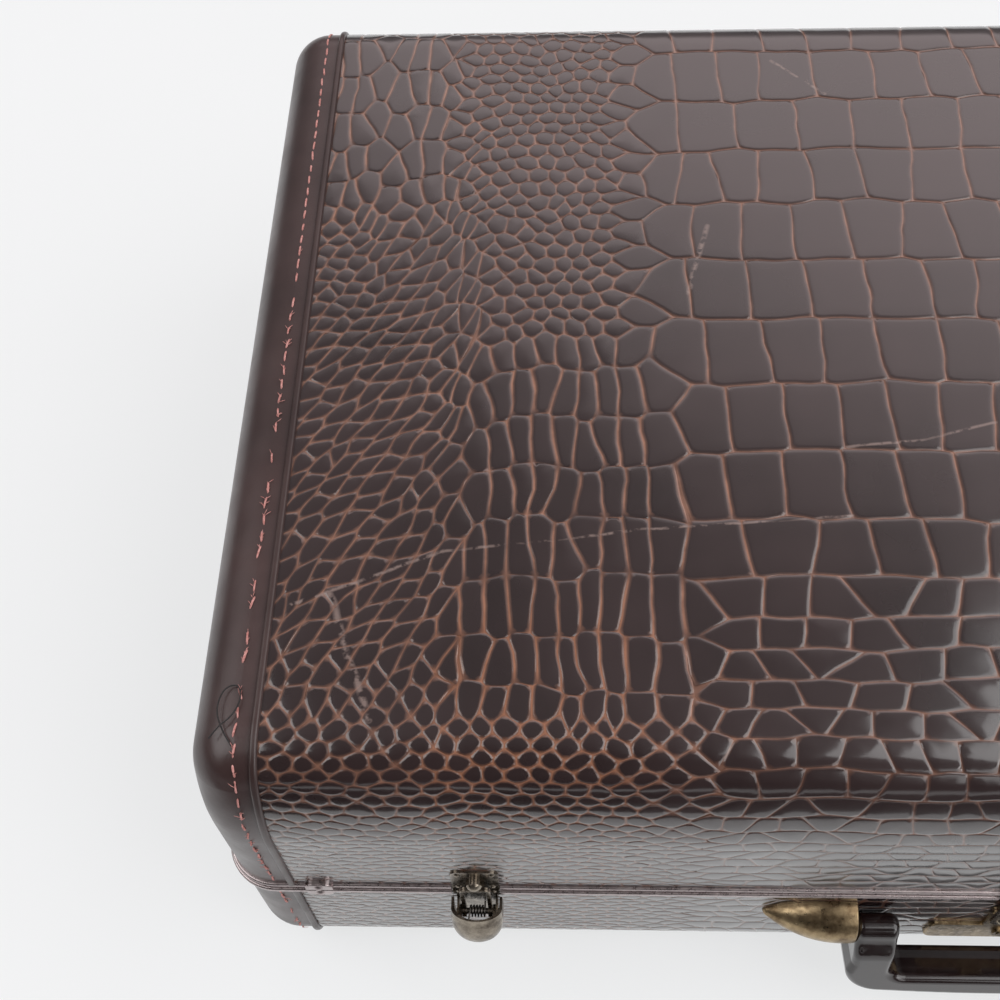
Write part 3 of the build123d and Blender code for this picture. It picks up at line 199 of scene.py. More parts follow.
class Hide:
    """How the hide's scales vary over one unrolled cover, from flank to belly."""

    def __init__(self, section, seed):
        self.section = section
        self.seed = seed
        self.rng = np.random.default_rng(seed)

    def from_front(self, v):
        """Length along the section from the nearer rim; the hide's middle lies behind the centre."""
        return v if v < 350.0 else 700.0 - v

    def belly_edge(self, v):
        """Where the large belly scales end, as a distance from the middle of the case."""
        s = self.from_front(v)
        return 134.0 + 10.0 * step(s, 186.0, 4.0) + 14.0 * step(v, 292.0, 6.0)

    def belly_scale(self, v):
        """Height and width of a belly scale."""
        s = self.from_front(v)
        for above, height, width in ((203, 35.5, 24.5), (172, 28.0, 24.0), (146, 14.0, 21.0), (122, 12.5, 18.0)):
            if s > above:
                return height, width
        return (11.5, 15.0) if s > 75 else (9.5, 12.0)

    def flank_scale(self, a, v):
        """Spacing, shape (height, width), slant of a flank scale at a distance a from the middle."""
        s = self.from_front(v)
        veins = window(a, 95.0, 237.0, 5.0) * window(v, 124.0, 296.0, 9.0)
        hexes = window(a, 95.0, 246.0, 5.0) * window(v, 302.0, 700.0, 8.0)
        corner = window(a, 246.0, 400.0, 4.0) * window(v, 382.0, 700.0, 6.0)
        slanted = window(a, 238.0, 400.0, 5.0) * window(v, 126.0, 378.0, 7.0)
        small = window(a, 279.0, 400.0, 3.0) * window(v, 300.0, 372.0, 5.0)
        fine = 1.0 - step(s, 120.0, 4.0)
        low = 1.0 - step(s, 72.0, 3.0)
        spacing = 14.0 + 12.0 * veins + 1.5 * hexes + 12.0 * corner + 5.5 * slanted
        spacing *= 1.0 - 0.22 * fine - 0.12 * low - 0.25 * small
        height = spacing * (0.62 + 0.10 * slanted)
        return spacing, height, 9.4 - 3.4 * slanted, math.radians(38.0) * slanted

    def long_veins(self, a, v):
        """Where the scales run together into long veins with hardly a line across, 0 to 1."""
        middle = window(a, 130.0, 238.0, 4.0) * window(v, 124.0, 297.0, 6.0)
        corner = window(a, 247.0, 400.0, 4.0) * window(v, 382.0, 700.0, 6.0)
        return max(middle, corner)

    def seeds(self):
        """Centres of the scales, each with its measure of closeness as a 2 x 2 matrix."""
        rng = self.rng
        seeds, measures = [], []

        def put(u, v, height, width, slant, upright):
            c, d = math.cos(slant), math.sin(slant)
            across, along = 1.0 / width ** 2, (upright / height) ** 2
            seeds.append((u, v))
            measures.append(
                (
                    across * c * c + along * d * d,
                    (across - along) * c * d,
                    across * d * d + along * c * c,
                )
            )

        for side in (-1, 1):
            a = 139.0
            column = 0
            while a < SEAM_X + OVERHANG:
                pitch = 4.6 if a > 160 else 6.0
                v = -OVERHANG + (4.3 if column % 2 else 0.0)
                while v < self.section.length + OVERHANG:
                    spacing, height, width, slant = self.flank_scale(a, v)
                    place = a + rng.normal(0, pitch * 0.12)
                    paired = column % 2 == 0 or self.long_veins(a, v) < 0.5
                    if place > self.belly_edge(v) + 4.0 and paired:
                        put(side * place, v + rng.normal(0, spacing * 0.08), height, width, side * slant, 1.0)
                    v += spacing
                a += pitch
                column += 1
        v = -OVERHANG
        while v < self.section.length + OVERHANG:
            height, width = self.belly_scale(v)
            v += height / 2
            edge = self.belly_edge(v) - width * 0.40
            x = -edge + rng.normal(0, 1.6)
            while x < edge + 4:
                put(x + rng.normal(0, 1.1), v + rng.normal(0, 0.5), height, width, 0.0, 2.3)
                x += width * (1 + rng.normal(0, 0.14))
            v += height / 2
        return np.array(seeds), np.array(measures)

    def vein(self, u, v):
        """How wide and tan the vein is here, 0 to 1."""
        a = abs(u)
        s = self.from_front(v)
        strong = 0.80 * window(a, 130.0, 240.0, 7.0) * window(v, 92.0, 300.0, 9.0)
        flank = 0.34 * window(a, 240.0, 400.0, 7.0) * window(s, 90.0, 380.0, 9.0)
        corner = 0.50 * window(a, 240.0, 400.0, 6.0) * window(v, 378.0, 700.0, 8.0)
        hexes = 0.28 * window(a, 162.0, 240.0, 6.0) * window(v, 300.0, 700.0, 10.0)
        belly = 0.46 * (1.0 - step(a, 160.0, 5.0)) * step(s, 135.0, 12.0)
        patchy = 0.80 + 0.7 * noise.noise(Vector((u / 24.0, v / 60.0, self.seed)))
        return max(0.0, min(1.0, (strong + flank + corner + hexes + belly) * patchy + 0.08))


def clip_half(polygon, point, normal):
    """Keeps the part of a convex polygon on the inner side of a line."""
    result = []
    count = len(polygon)
    for i in range(count):
        a, b = polygon[i], polygon[(i + 1) % count]
        da = (a[0] - point[0]) * normal[0] + (a[1] - point[1]) * normal[1]
        db = (b[0] - point[0]) * normal[0] + (b[1] - point[1]) * normal[1]
        if da <= 0:
            result.append(a)
        if da * db < 0:
            part = da / (da - db)
            result.append((a[0] + (b[0] - a[0]) * part, a[1] + (b[1] - a[1]) * part))
    return result


def grown_cells(seeds, measures):
    """The polygon of points nearest to each seed, by the measure of the two seeds it lies between."""
    cells = []
    reach = 60.0
    for seed, own in zip(seeds, measures):
        offset = seeds - seed
        dx, dy = offset[:, 0], offset[:, 1]
        m = (measures + own) / 2
        away = m[:, 0] * dx * dx + 2 * m[:, 1] * dx * dy + m[:, 2] * dy * dy
        polygon = [
            (seed[0] - reach, seed[1] - reach),
            (seed[0] + reach, seed[1] - reach),
            (seed[0] + reach, seed[1] + reach),
            (seed[0] - reach, seed[1] + reach),
        ]
        for j in np.argsort(away)[1:22]:
            normal = (m[j, 0] * dx[j] + m[j, 1] * dy[j], m[j, 1] * dx[j] + m[j, 2] * dy[j])
            polygon = clip_half(polygon, (seed[0] + dx[j] / 2, seed[1] + dy[j] / 2), normal)
            if len(polygon) < 3:
                break
        cells.append(polygon)
    return cells


def joined_corners(cells, reach):
    """The cells with corners closer than reach made one, so that neighbours share them."""
    kept = {}
    result = []
    for cell in cells:
        polygon = []
        for x, y in cell:
            i, j = math.floor(x / reach), math.floor(y / reach)
            found = None
            for near in ((i + di, j + dj) for di in (-1, 0, 1) for dj in (-1, 0, 1)):
                for q in kept.get(near, ()):
                    if math.hypot(q[0] - x, q[1] - y) < reach:
                        found = q
                        break
                if found:
                    break
            if not found:
                found = (x, y)
                kept.setdefault((i, j), []).append(found)
            if not polygon or polygon[-1] != found:
                polygon.append(found)
        if len(polygon) > 1 and polygon[0] == polygon[-1]:
            polygon.pop()
        result.append(polygon if len(set(polygon)) > 2 else [])
    return result


def inset_polygon(polygon, widths):
    """A convex polygon moved in by a width per side."""
    area = sum(
        polygon[i][0] * polygon[(i + 1) % len(polygon)][1]
        - polygon[(i + 1) % len(polygon)][0] * polygon[i][1]
        for i in range(len(polygon))
    )
    sign = 1.0 if area > 0 else -1.0
    result = list(polygon)
    count = len(polygon)
    for i in range(count):
        a, b = polygon[i], polygon[(i + 1) % count]
        dx, dy = b[0] - a[0], b[1] - a[1]
        length = math.hypot(dx, dy)
        if length < 1e-6:
            continue
        normal = (dy / length * sign, -dx / length * sign)
        point = (a[0] - normal[0] * widths[i], a[1] - normal[1] * widths[i])
        result = clip_half(result, point, normal)
        if len(result) < 3:
            return []
    return result


def rounded(polygon, cut):
    """Corners cut off twice over at most, by a length that suits the side."""
    result = []
    count = len(polygon)
    for i in range(count):
        a, b = polygon[i], polygon[(i + 1) % count]
        length = math.hypot(b[0] - a[0], b[1] - a[1])
        if length < 1e-6:
            continue
        part = min(0.3, cut / length)
        result.append((a[0] + (b[0] - a[0]) * part, a[1] + (b[1] - a[1]) * part))
        result.append((b[0] + (a[0] - b[0]) * part, b[1] + (a[1] - b[1]) * part))
    return result


def divided(polygon, longest):
    """The polygon with its long sides divided, each side the same way from both ends."""
    result = []
    count = len(polygon)
    for i in range(count):
        a, b = polygon[i], polygon[(i + 1) % count]
        length = math.hypot(b[0] - a[0], b[1] - a[1])
        parts = max(1, math.ceil(length / longest - 1e-6))
        for k in range(parts):
            t = k / parts
            result.append((a[0] + (b[0] - a[0]) * t, a[1] + (b[1] - a[1]) * t))
    return result


def waver(u, v, seed):
    """A gentle wander that makes straight lattice lines look grown."""
    broad = noise.noise_vector(Vector((u / 38.0, v / 38.0, seed)))
    close = noise.noise_vector(Vector((u / 11.0, v / 11.0, seed + 7.3)))
    wild = 0.75 + 0.25 * step(abs(u), 150.0, 8.0)
    return u + (broad.x * 3.2 + close.x * 1.5) * wild, v + (broad.y * 3.2 + close.y * 1.3) * wild


def inside(polygon, x, y):
    hit = False
    count = len(polygon)
    j = count - 1
    for i in range(count):
        xi, yi = polygon[i]
        xj, yj = polygon[j]
        if (yi > y) != (yj > y) and x < (xj - xi) * (y - yi) / (yj - yi) + xi:
            hit = not hit
        j = i
    return hit


def clip_box(polygon, u_max, v_low, v_high):
    for point, normal in (
        ((u_max, 0), (1, 0)),
        ((-u_max, 0), (-1, 0)),
        ((0, v_high), (0, 1)),
        ((0, v_low), (0, -1)),
    ):
        polygon = clip_half(polygon, point, normal)
        if len(polygon) < 3:
            return []
    return polygon


def croc_cover(name, half, seed, max_height):
    """The embossed cover of the lid or base as a mesh of separate pillowed scales."""
    section = Section(half)
    hide = Hide(section, seed)
    rng = np.random.default_rng(seed + 1)
    seeds, measures = hide.seeds()
    verts, faces, groove, tone = [], [], [], []
    index = {}
    v_low, v_high = MOULD_H, section.length - MOULD_H
    for cell, centre in zip(joined_corners(grown_cells(seeds, measures), CORNER_REACH), seeds):
        if len(cell) < 3 or abs(centre[0]) > SEAM_X + 20:
            continue
        outer = divided(cell, 7.0)
        middle = (
            sum(p[0] for p in outer) / len(outer),
            sum(p[1] for p in outer) / len(outer),
        )
        if not (-OVERHANG < middle[1] < section.length + OVERHANG):
            continue
        plain = cell
        area = 0.0
        for i in range(len(plain)):
            a, b = plain[i], plain[(i + 1) % len(plain)]
            area += a[0] * b[1] - b[0] * a[1]
        size = math.sqrt(abs(area) / 2)
        strength = hide.vein(*middle)
        widths = []
        for i in range(len(plain)):
            a, b = plain[i], plain[(i + 1) % len(plain)]
            dx, dy = b[0] - a[0], b[1] - a[1]
            upright = abs(dy) / (math.hypot(dx, dy) + 1e-9)
            widths.append(THIN_GROOVE + WIDE_GROOVE * strength * upright ** 2)
        rings = [outer]
        shoulder = SMALL_SHOULDER + (LARGE_SHOULDER - SMALL_SHOULDER) * min(1.0, size / 22.0)
        for extra in (0.0, shoulder, shoulder + PLATEAU_IN) if size > 15 else (0.0, shoulder):
            ring = inset_polygon(plain, [w + extra for w in widths])
            if len(ring) < 3:
                break
            rings.append(divided(rounded(ring, 1.3 if size > 15 else 1.7), 6.0))
        longest = 6.0 if section.curved(middle[1]) else 13.0
        inner = []
        if len(rings) > 2:
            us = [p[0] for p in rings[-1]]
            vs = [p[1] for p in rings[-1]]
            if size < 16:
                inner = [((min(us) + max(us)) / 2, (min(vs) + max(vs)) / 2)]
            else:
                nu = max(1, int((max(us) - min(us)) / longest))
                nv = max(1, int((max(vs) - min(vs)) / longest))
                core = inset_polygon(plain, [w + shoulder + PLATEAU_IN + 1.5 for w in widths])
                for i in range(nu + 1):
                    for j in range(nv + 1):
                        p = (
                            min(us) + (max(us) - min(us)) * (i + 0.5) / (nu + 1),
                            min(vs) + (max(vs) - min(vs)) * (j + 0.5) / (nv + 1),
                        )
                        if len(core) > 2 and inside(core, *p):
                            inner.append(p)
        merged = hide.long_veins(abs(middle[0]), middle[1])
        warped = [[waver(u, v, seed) for u, v in ring] for ring in rings]
        inner = [waver(u, v, seed) for u, v in inner]
        inner = [p for p in inner if abs(p[0]) < SEAM_X and v_low < p[1] < v_high]
        crossing = any(
            abs(u) > SEAM_X or v < v_low or v > v_high for ring in warped for u, v in ring
        )
        if crossing:
            warped = [clip_box(ring, SEAM_X, v_low, v_high) for ring in warped]
            warped = [ring for ring in warped if len(ring) > 2]
            if not warped:
                continue
        points, edges, ring_of, cut_of = [], [], [], []
        for number, ring in enumerate(warped):
            first = len(points)
            for i, p in enumerate(ring):
                points.append(Vector(p))
                ring_of.append(number)
                before, after = ring[i - 1], ring[(i + 1) % len(ring)]
                run = math.hypot(after[0] - before[0], after[1] - before[1]) + 1e-9
                cut_of.append(1.0 - 0.85 * merged * (1.0 - (abs(after[1] - before[1]) / run) ** 2))
            edges += [(first + i, first + (i + 1) % len(ring)) for i in range(len(ring))]
        for p in inner:
            points.append(Vector(p))
            ring_of.append(4)
            cut_of.append(1.0)
        try:
            out_co, _, out_faces, origin, _, _ = delaunay_2d_cdt(
                points, edges, [list(range(len(warped[0])))], 1, 1e-5
            )
        except Exception:
            continue
        own_tone = float(rng.random())
        lift = PILLOW * min(1.0, size / 18.0)
        tan = 0.50 + 0.50 * strength
        local = []
        for co, came in zip(out_co, origin):
            ring = max((ring_of[i] for i in came), default=1) if len(came) else 1
            if len(came) and 0 in [ring_of[i] for i in came]:
                ring = 0
            cut = min((cut_of[i] for i in came), default=1.0)
            depth = (THIN_DEPTH + VEIN_DEPTH * strength) * cut
            height = (-depth, -0.25 * depth, lift * 0.75, lift, lift)[ring]
            shade = (tan, 0.35 * tan, 0.0, 0.0, 0.0)[ring] * cut
            key = (round(co.x, 3), round(co.y, 3)) if ring == 0 else None
            if key is not None and key in index:
                local.append(index[key])
                continue
            place = section.surface(co.x, co.y, height - PILLOW + max_height)
            verts.append(place)
            groove.append(shade)
            tone.append(own_tone if ring else 0.5)
            local.append(len(verts) - 1)
            if key is not None:
                index[key] = len(verts) - 1
        for face in out_faces:
            ids = [local[i] for i in face]
            if len(set(ids)) == len(ids):
                faces.append(ids)
    columns = np.linspace(-SEAM_X, SEAM_X, 25)
    rows = np.linspace(v_low, v_high, 121)
    first = len(verts)
    for v in rows:
        for u in columns:
            verts.append(section.surface(u, v, max_height - PILLOW - THIN_DEPTH - VEIN_DEPTH - UNDER))
            groove.append(0.6)
            tone.append(0.5)
    for i in range(len(rows) - 1):
        for j in range(len(columns) - 1):
            k = first + i * len(columns) + j
            faces.append([k, k + 1, k + 1 + len(columns), k + len(columns)])
    mesh = bpy.data.meshes.new(name)
    mesh.from_pydata(verts, [], faces)
    groove_data = mesh.attributes.new("groove", "FLOAT", "POINT")
    groove_data.data.foreach_set("value", groove)
    tone_data = mesh.attributes.new("tone", "FLOAT", "POINT")
    tone_data.data.foreach_set("value", tone)
    bm = bmesh.new()
    bm.from_mesh(mesh)
    bmesh.ops.recalc_face_normals(bm, faces=bm.faces)
    sample = max(bm.faces, key=lambda f: f.calc_center_median().z if half == "lid" else -f.calc_center_median().z)
    if (sample.normal.z > 0) != (half == "lid"):
        bmesh.ops.reverse_faces(bm, faces=bm.faces)
    bm.to_mesh(mesh)
    bm.free()
    mesh.polygons.foreach_set("use_smooth", [True] * len(mesh.polygons))
    piece = bpy.data.objects.new(name, mesh)
    bpy.context.scene.collection.objects.link(piece)
    print(name, "faces", len(mesh.polygons), "verts", len(mesh.vertices), "cells", len(seeds))
    return piece


class Nodes:
    """Short calls for building a material's node tree."""

    def __init__(self, name):
        self.material = bpy.data.materials.new(name)
        self.material.use_nodes = True
        self.tree = self.material.node_tree
        self.shader = self.tree.nodes["Principled BSDF"]

    def add(self, kind, **settings):
        node = self.tree.nodes.new(kind)
        for key, value in settings.items():
            setattr(node, key, value)
        return node

    def link(self, source, target):
        self.tree.links.new(source, target)

    def place(self):
        return self.add("ShaderNodeTexCoord").outputs["Object"]

    def noise(self, scale, detail=3.0, rough=0.55, coords=None, stretch=None):
        node = self.add("ShaderNodeTexNoise")
        node.inputs["Scale"].default_value = scale
        node.inputs["Detail"].default_value = detail
        node.inputs["Roughness"].default_value = rough
        source = coords or self.place()
        if stretch:
            mapping = self.add("ShaderNodeMapping")
            mapping.inputs["Scale"].default_value = stretch
            self.link(source, mapping.inputs["Vector"])
            source = mapping.outputs["Vector"]
        self.link(source, node.inputs["Vector"])
        return node.outputs["Fac"]

    def voronoi(self, scale, feature="DISTANCE_TO_EDGE"):
        node = self.add("ShaderNodeTexVoronoi", feature=feature)
        node.inputs["Scale"].default_value = scale
        self.link(self.place(), node.inputs["Vector"])
        return node.outputs["Distance"]

    def ramp(self, source, stops):
        node = self.add("ShaderNodeValToRGB")
        band = node.color_ramp
        while len(band.elements) < len(stops):
            band.elements.new(0.5)
        for element, (place, color) in zip(band.elements, stops):
            element.position = place
            element.color = (*color, 1.0) if len(color) == 3 else color
        self.link(source, node.inputs["Fac"])
        return node.outputs["Color"]

    def span(self, source, low, high, to_low=0.0, to_high=1.0):
        node = self.add("ShaderNodeMapRange")
        node.inputs["From Min"].default_value = low
        node.inputs["From Max"].default_value = high
        node.inputs["To Min"].default_value = to_low
        node.inputs["To Max"].default_value = to_high
        self.link(source, node.inputs["Value"])
        return node.outputs["Result"]

    def math(self, operation, a, b):
        node = self.add("ShaderNodeMath", operation=operation)
        for socket, value in zip(node.inputs, (a, b)):
            if hasattr(value, "is_linked"):
                self.link(value, socket)
            else:
                socket.default_value = value
        return node.outputs["Value"]

    def mix(self, factor, a, b, blend="MIX"):
        node = self.add("ShaderNodeMix", data_type="RGBA", blend_type=blend)
        sockets = [s for s in node.inputs if s.enabled]
        for socket, value in zip(sockets, (factor, a, b)):
            if hasattr(value, "is_linked"):
                self.link(value, socket)
            elif isinstance(value, tuple):
                socket.default_value = (*value, 1.0)
            else:
                socket.default_value = value
        return [s for s in node.outputs if s.enabled][0]

    def vector_math(self, operation, *values):
        """A vector operation on sockets or plain vectors."""
        node = self.add("ShaderNodeVectorMath", operation=operation)
        sockets = [s for s in node.inputs if s.enabled]
        for socket, value in zip(sockets, values):
            if hasattr(value, "is_linked"):
                self.link(value, socket)
            else:
                socket.default_value = value
        return [s for s in node.outputs if s.enabled][0]

    def stroke(self, place, start, end, width):
        """A line from start to end in the object's space, as a mask that fades over its width."""
        run = Vector(end) - Vector(start)
        way = tuple(run.normalized())
        offset = self.vector_math("SUBTRACT", place, tuple(start))
        along = self.span(self.vector_math("DOT_PRODUCT", offset, way), 0.0, run.length, 0.0, run.length)
        nearest = self.vector_math("SCALE", way, along)
        distance = self.vector_math("LENGTH", self.vector_math("SUBTRACT", offset, nearest))
        return self.span(distance, 0.25 * width, width, 1.0, 0.0)

    def attribute(self, name):
        return self.add("ShaderNodeAttribute", attribute_name=name).outputs["Fac"]

    def bump(self, height, strength, distance):
        node = self.add("ShaderNodeBump")
        node.inputs["Strength"].default_value = strength
        node.inputs["Distance"].default_value = distance
        self.link(height, node.inputs["Height"])
        self.link(node.outputs["Normal"], self.shader.inputs["Normal"])

    def color(self, source):
        self.link(source, self.shader.inputs["Base Color"])

    def roughness(self, source):
        self.link(source, self.shader.inputs["Roughness"])

    def fixed(self, **values):
        for name, value in values.items():
            self.shader.inputs[name.replace("_", " ")].default_value = value


def scratch_mask(m):
    """The scratches and scuffs of the lid's top, broken up along their length."""
    section = Section("lid")
    wander = m.vector_math("SCALE", m.noise(45.0, 2.0), 0.004)
    shifted = m.vector_math("ADD", m.place(), wander)
    shift = Vector((0.002, 0.002, 0.002))
    mask = 0.0
    for start, end, width in SCRATCHES:
        a, b = section.surface(*start, 0.0), section.surface(*end, 0.0)
        mask = m.math("MAXIMUM", mask, m.stroke(shifted, a + shift, b + shift, width * MM))
    broken = m.span(m.noise(260.0, 2.0), 0.42, 0.56)
    return m.math("MULTIPLY", mask, broken)


def croc_material():
    m = Nodes("croc_leather")
    groove, tone = m.attribute("groove"), m.attribute("tone")
    cloud = m.noise(16.0, 4.0)
    dark = m.ramp(cloud, [(0.3, (0.014, 0.007, 0.007)), (0.7, (0.027, 0.014, 0.014))])
    scale = m.mix(m.span(tone, 0.0, 1.0, 0.0, 0.35), dark, (0.035, 0.020, 0.020))
    tan = m.ramp(m.noise(90.0, 3.0), [(0.35, (0.17, 0.074, 0.045)), (0.65, (0.31, 0.145, 0.092))])
    split = m.add("ShaderNodeSeparateXYZ")
    m.link(m.place(), split.inputs["Vector"])
    left = m.math("MULTIPLY", m.span(split.outputs["X"], -0.150, -0.175), m.span(split.outputs["X"], -0.255, -0.235))
    near = m.span(split.outputs["Y"], -0.125, -0.150)
    tan = m.mix(m.math("MULTIPLY", m.math("MULTIPLY", left, near), 0.5), tan, (0.34, 0.130, 0.060))
    vein = m.span(groove, 0.02, 0.8)
    worn = scratch_mask(m)
    m.color(m.mix(m.math("MULTIPLY", worn, 0.75), m.mix(vein, scale, tan), (0.24, 0.17, 0.15)))
    dull = m.math("MAXIMUM", m.math("MULTIPLY", vein, 0.25), m.math("MULTIPLY", worn, 0.3))
    m.roughness(m.math("ADD", m.span(cloud, 0.3, 0.7, 0.25, 0.34), dull))
    grain = m.noise(900.0, 2.0)
    m.bump(grain, 0.10, 0.0002)
    m.fixed(Coat_Weight=1.0, Coat_Roughness=0.12, Coat_IOR=1.6, Specular_IOR_Level=0.3)
    return m.material


def leather_material(name, low, high, rough):
    m = Nodes(name)
    cloud = m.noise(22.0, 5.0)
    m.color(m.ramp(cloud, [(0.35, low), (0.7, high)]))
    m.roughness(m.span(m.noise(60.0, 4.0), 0.3, 0.7, rough - 0.06, rough + 0.08))
    pores = m.math("ADD", m.noise(1100.0, 2.0), m.math("MULTIPLY", m.noise(240.0, 3.0), 0.8))
    m.bump(pores, 0.18, 0.00025)
    m.fixed(Coat_Weight=0.15, Coat_Roughness=0.25)
    return m.material


def metal_material(name, low, high, rough, scratches=0.5):
    m = Nodes(name)
    patina = m.noise(140.0, 5.0, 0.65)
    m.color(m.ramp(patina, [(0.32, low), (0.62, high)]))
    wear = m.noise(420.0, 3.0)
    m.roughness(m.span(wear, 0.3, 0.7, rough - 0.07, rough + 0.12))
    lines = m.noise(380.0, 2.0, coords=None, stretch=(0.15, 1.0, 1.0))
    m.bump(lines, 0.10 * scratches, 0.0002)
    m.fixed(Metallic=1.0)
    return m.material


def gloss_material():
    m = Nodes("handle_gloss")
    cloud = m.noise(30.0, 4.0)
    m.color(m.ramp(cloud, [(0.35, (0.008, 0.004, 0.004)), (0.7, (0.018, 0.008, 0.008))]))
    m.roughness(m.span(m.noise(150.0, 3.0), 0.3, 0.7, 0.14, 0.24))
    m.bump(m.noise(500.0, 2.0), 0.05, 0.0002)
    m.fixed(Coat_Weight=0.5, Coat_Roughness=0.08)
    return m.material


def cloth_material():
    m = Nodes("lining_cloth")
    weave = m.add("ShaderNodeTexWave", wave_type="BANDS", bands_direction="DIAGONAL")
    weave.inputs["Scale"].default_value = 260.0
    weave.inputs["Distortion"].default_value = 1.5
    m.link(m.place(), weave.inputs["Vector"])
    shade = m.ramp(m.noise(12.0, 4.0), [(0.3, (0.42, 0.27, 0.20)), (0.7, (0.52, 0.36, 0.27))])
    m.color(m.mix(m.math("MULTIPLY", weave.outputs["Fac"], 0.25), shade, (0.60, 0.45, 0.35)))
    m.bump(weave.outputs["Fac"], 0.3, 0.0002)
    m.fixed(Roughness=0.75)
    return m.material


def board_material():
    m = Nodes("board")
    grain = m.noise(35.0, 4.0, stretch=(0.1, 1.0, 1.0))
    m.color(m.ramp(grain, [(0.3, (0.36, 0.24, 0.14)), (0.7, (0.52, 0.38, 0.24))]))
    m.bump(grain, 0.2, 0.0003)
    m.fixed(Roughness=0.8)
    return m.material


def thread_material(name, low, high):
    m = Nodes(name)
    m.color(m.ramp(m.noise(700.0, 3.0), [(0.3, low), (0.7, high)]))
    m.bump(m.noise(3000.0, 2.0), 0.3, 0.0002)
    m.fixed(Roughness=0.8)
    return m.material


def set_materials(frame):
    """Gives each CAD node the material of its slot in the record."""
    by_slot = {
        "croc_leather": croc_material(),
        "binding_leather": leather_material("binding_leather", (0.036, 0.019, 0.018), (0.064, 0.036, 0.034), 0.34),
        "piping_leather": leather_material("piping_leather", (0.030, 0.015, 0.014), (0.055, 0.030, 0.027), 0.36),
        "board": board_material(),
        "lining_cloth": cloth_material(),
        "brass": metal_material("brass", (0.13, 0.084, 0.045), (0.40, 0.30, 0.175), 0.30),
        "nickel": metal_material("nickel", (0.085, 0.066, 0.05), (0.32, 0.275, 0.22), 0.24),
        "moulding_nickel": metal_material("moulding_nickel", (0.34, 0.285, 0.285), (0.46, 0.395, 0.39), 0.28),
        "steel": metal_material("steel", (0.06, 0.055, 0.05), (0.26, 0.24, 0.22), 0.36),
        "handle_gloss": gloss_material(),
    }
    for part in frame["record"]["subparts"]:
        node = frame["nodes"][part["node"]]
        node.data.materials.clear()
        node.data.materials.append(by_slot[part["material_slot"]])
    return by_slot


def tube(verts, faces, places, radius, sides=6, flat=1.0):
    """Adds a closed round strand through the given places, thinner at its ends."""
    first = len(verts)
    count = len(places)
    for i, place in enumerate(places):
        ahead = places[min(i + 1, count - 1)] - places[max(i - 1, 0)]
        ahead.normalize()
        side = ahead.orthogonal().normalized()
        up = ahead.cross(side)
        r = radius * (0.55 if i in (0, count - 1) else 1.0)
        for k in range(sides):
            angle = 2 * math.pi * k / sides
            verts.append(place + (side * math.cos(angle) + up * math.sin(angle) * flat) * r)
    for i in range(count - 1):
        for k in range(sides):
            a, b = first + i * sides + k, first + i * sides + (k + 1) % sides
            faces.append([a, b, b + sides, a + sides])
    faces.append([first + k for k in reversed(range(sides))])
    faces.append([first + (count - 1) * sides + k for k in range(sides)])


def whole(name, verts, faces, material, body):
    mesh = bpy.data.meshes.new(name)
    mesh.from_pydata(verts, [], faces)
    mesh.polygons.foreach_set("use_smooth", [True] * len(mesh.polygons))
    mesh.materials.append(material)
    piece = bpy.data.objects.new(name, mesh)
    bpy.context.scene.collection.objects.link(piece)
    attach(piece, body)
    return piece


def stitches(half, material, rng):
    """Salmon stitches outboard of both pipings: sound towards the back, frayed near the front."""
    section = Section(half)
    verts, faces = [], []
    for side in (-1, 1):
        v = MOULD_H + 3.0
        while v < section.length - MOULD_H - STITCH_PITCH:
            worn = 1.0 - step(v, 330.0, 25.0) if half == "lid" else 0.7
            u = side * (STITCH_X + rng.normal(0, 0.18))
            if rng.random() > 0.16 * worn:
                length = STITCH_LENGTH * (1.0 + rng.normal(0, 0.10))
                skew = rng.normal(0, 0.35 + 0.5 * worn)
                rise = 0.25 + 0.35 * worn * rng.random()
                places = []
                for k in range(7):
                    t = k / 6
                    arch = math.sin(math.pi * t) * rise - 0.35 * (abs(2 * t - 1) ** 4)
                    places.append(section.surface(u + skew * (t - 0.5), v + length * t, arch))
                tube(verts, faces, places, STITCH_R * MM * (1.0 - 0.25 * worn * rng.random()))
                for _ in range(int(7.0 * worn * rng.random())):
                    start = v + length * rng.random()
                    lean, reach = rng.normal(0, 1.1), 1.2 + 1.8 * rng.random()
                    places = [
                        section.surface(u + lean * t, start + reach * t * 0.8, 0.45 + 0.5 * t * rng.random())
                        for t in (0.0, 0.5, 1.0)
                    ]
                    tube(verts, faces, places, 0.15 * MM, 4)
            v += STITCH_PITCH * (1.0 + rng.normal(0, 0.025))
    return whole(f"stitches_{half}", verts, faces, material, half)


def loose_thread(material):
    """The black thread end that stands off the left seam in a loop near the front."""
    section = Section("lid")
    curve = bpy.data.curves.new("loose_thread", "CURVE")
    curve.dimensions = "3D"
    curve.bevel_depth = THREAD_R * MM
    curve.bevel_resolution = 3
    curve.resolution_u = 12
    curve.use_fill_caps = True
    spline = curve.splines.new("NURBS")
    knots = [
        section.surface(u, v, h)
        for u, v, h in (
            (-314.8, 110.0, -0.2), (-317.0, 113.0, 1.2), (-320.0, 117.5, 1.2), (-323.4, 125.0, 0.8),
            (-321.5, 134.0, 1.0), (-315.8, 136.0, 1.2), (-313.8, 129.0, 1.6), (-317.2, 121.5, 1.8),
            (-321.0, 118.5, 2.2), (-324.6, 114.0, 1.0),
        )
    ]
    spline.points.add(len(knots) - 1)
    for point, knot in zip(spline.points, knots):
        point.co = (*knot, 1.0)
    spline.order_u = 3
    spline.use_endpoint_u = True
    curve.materials.append(material)
    piece = bpy.data.objects.new("loose_thread", curve)
    bpy.context.scene.collection.objects.link(piece)
    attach(piece, "lid")


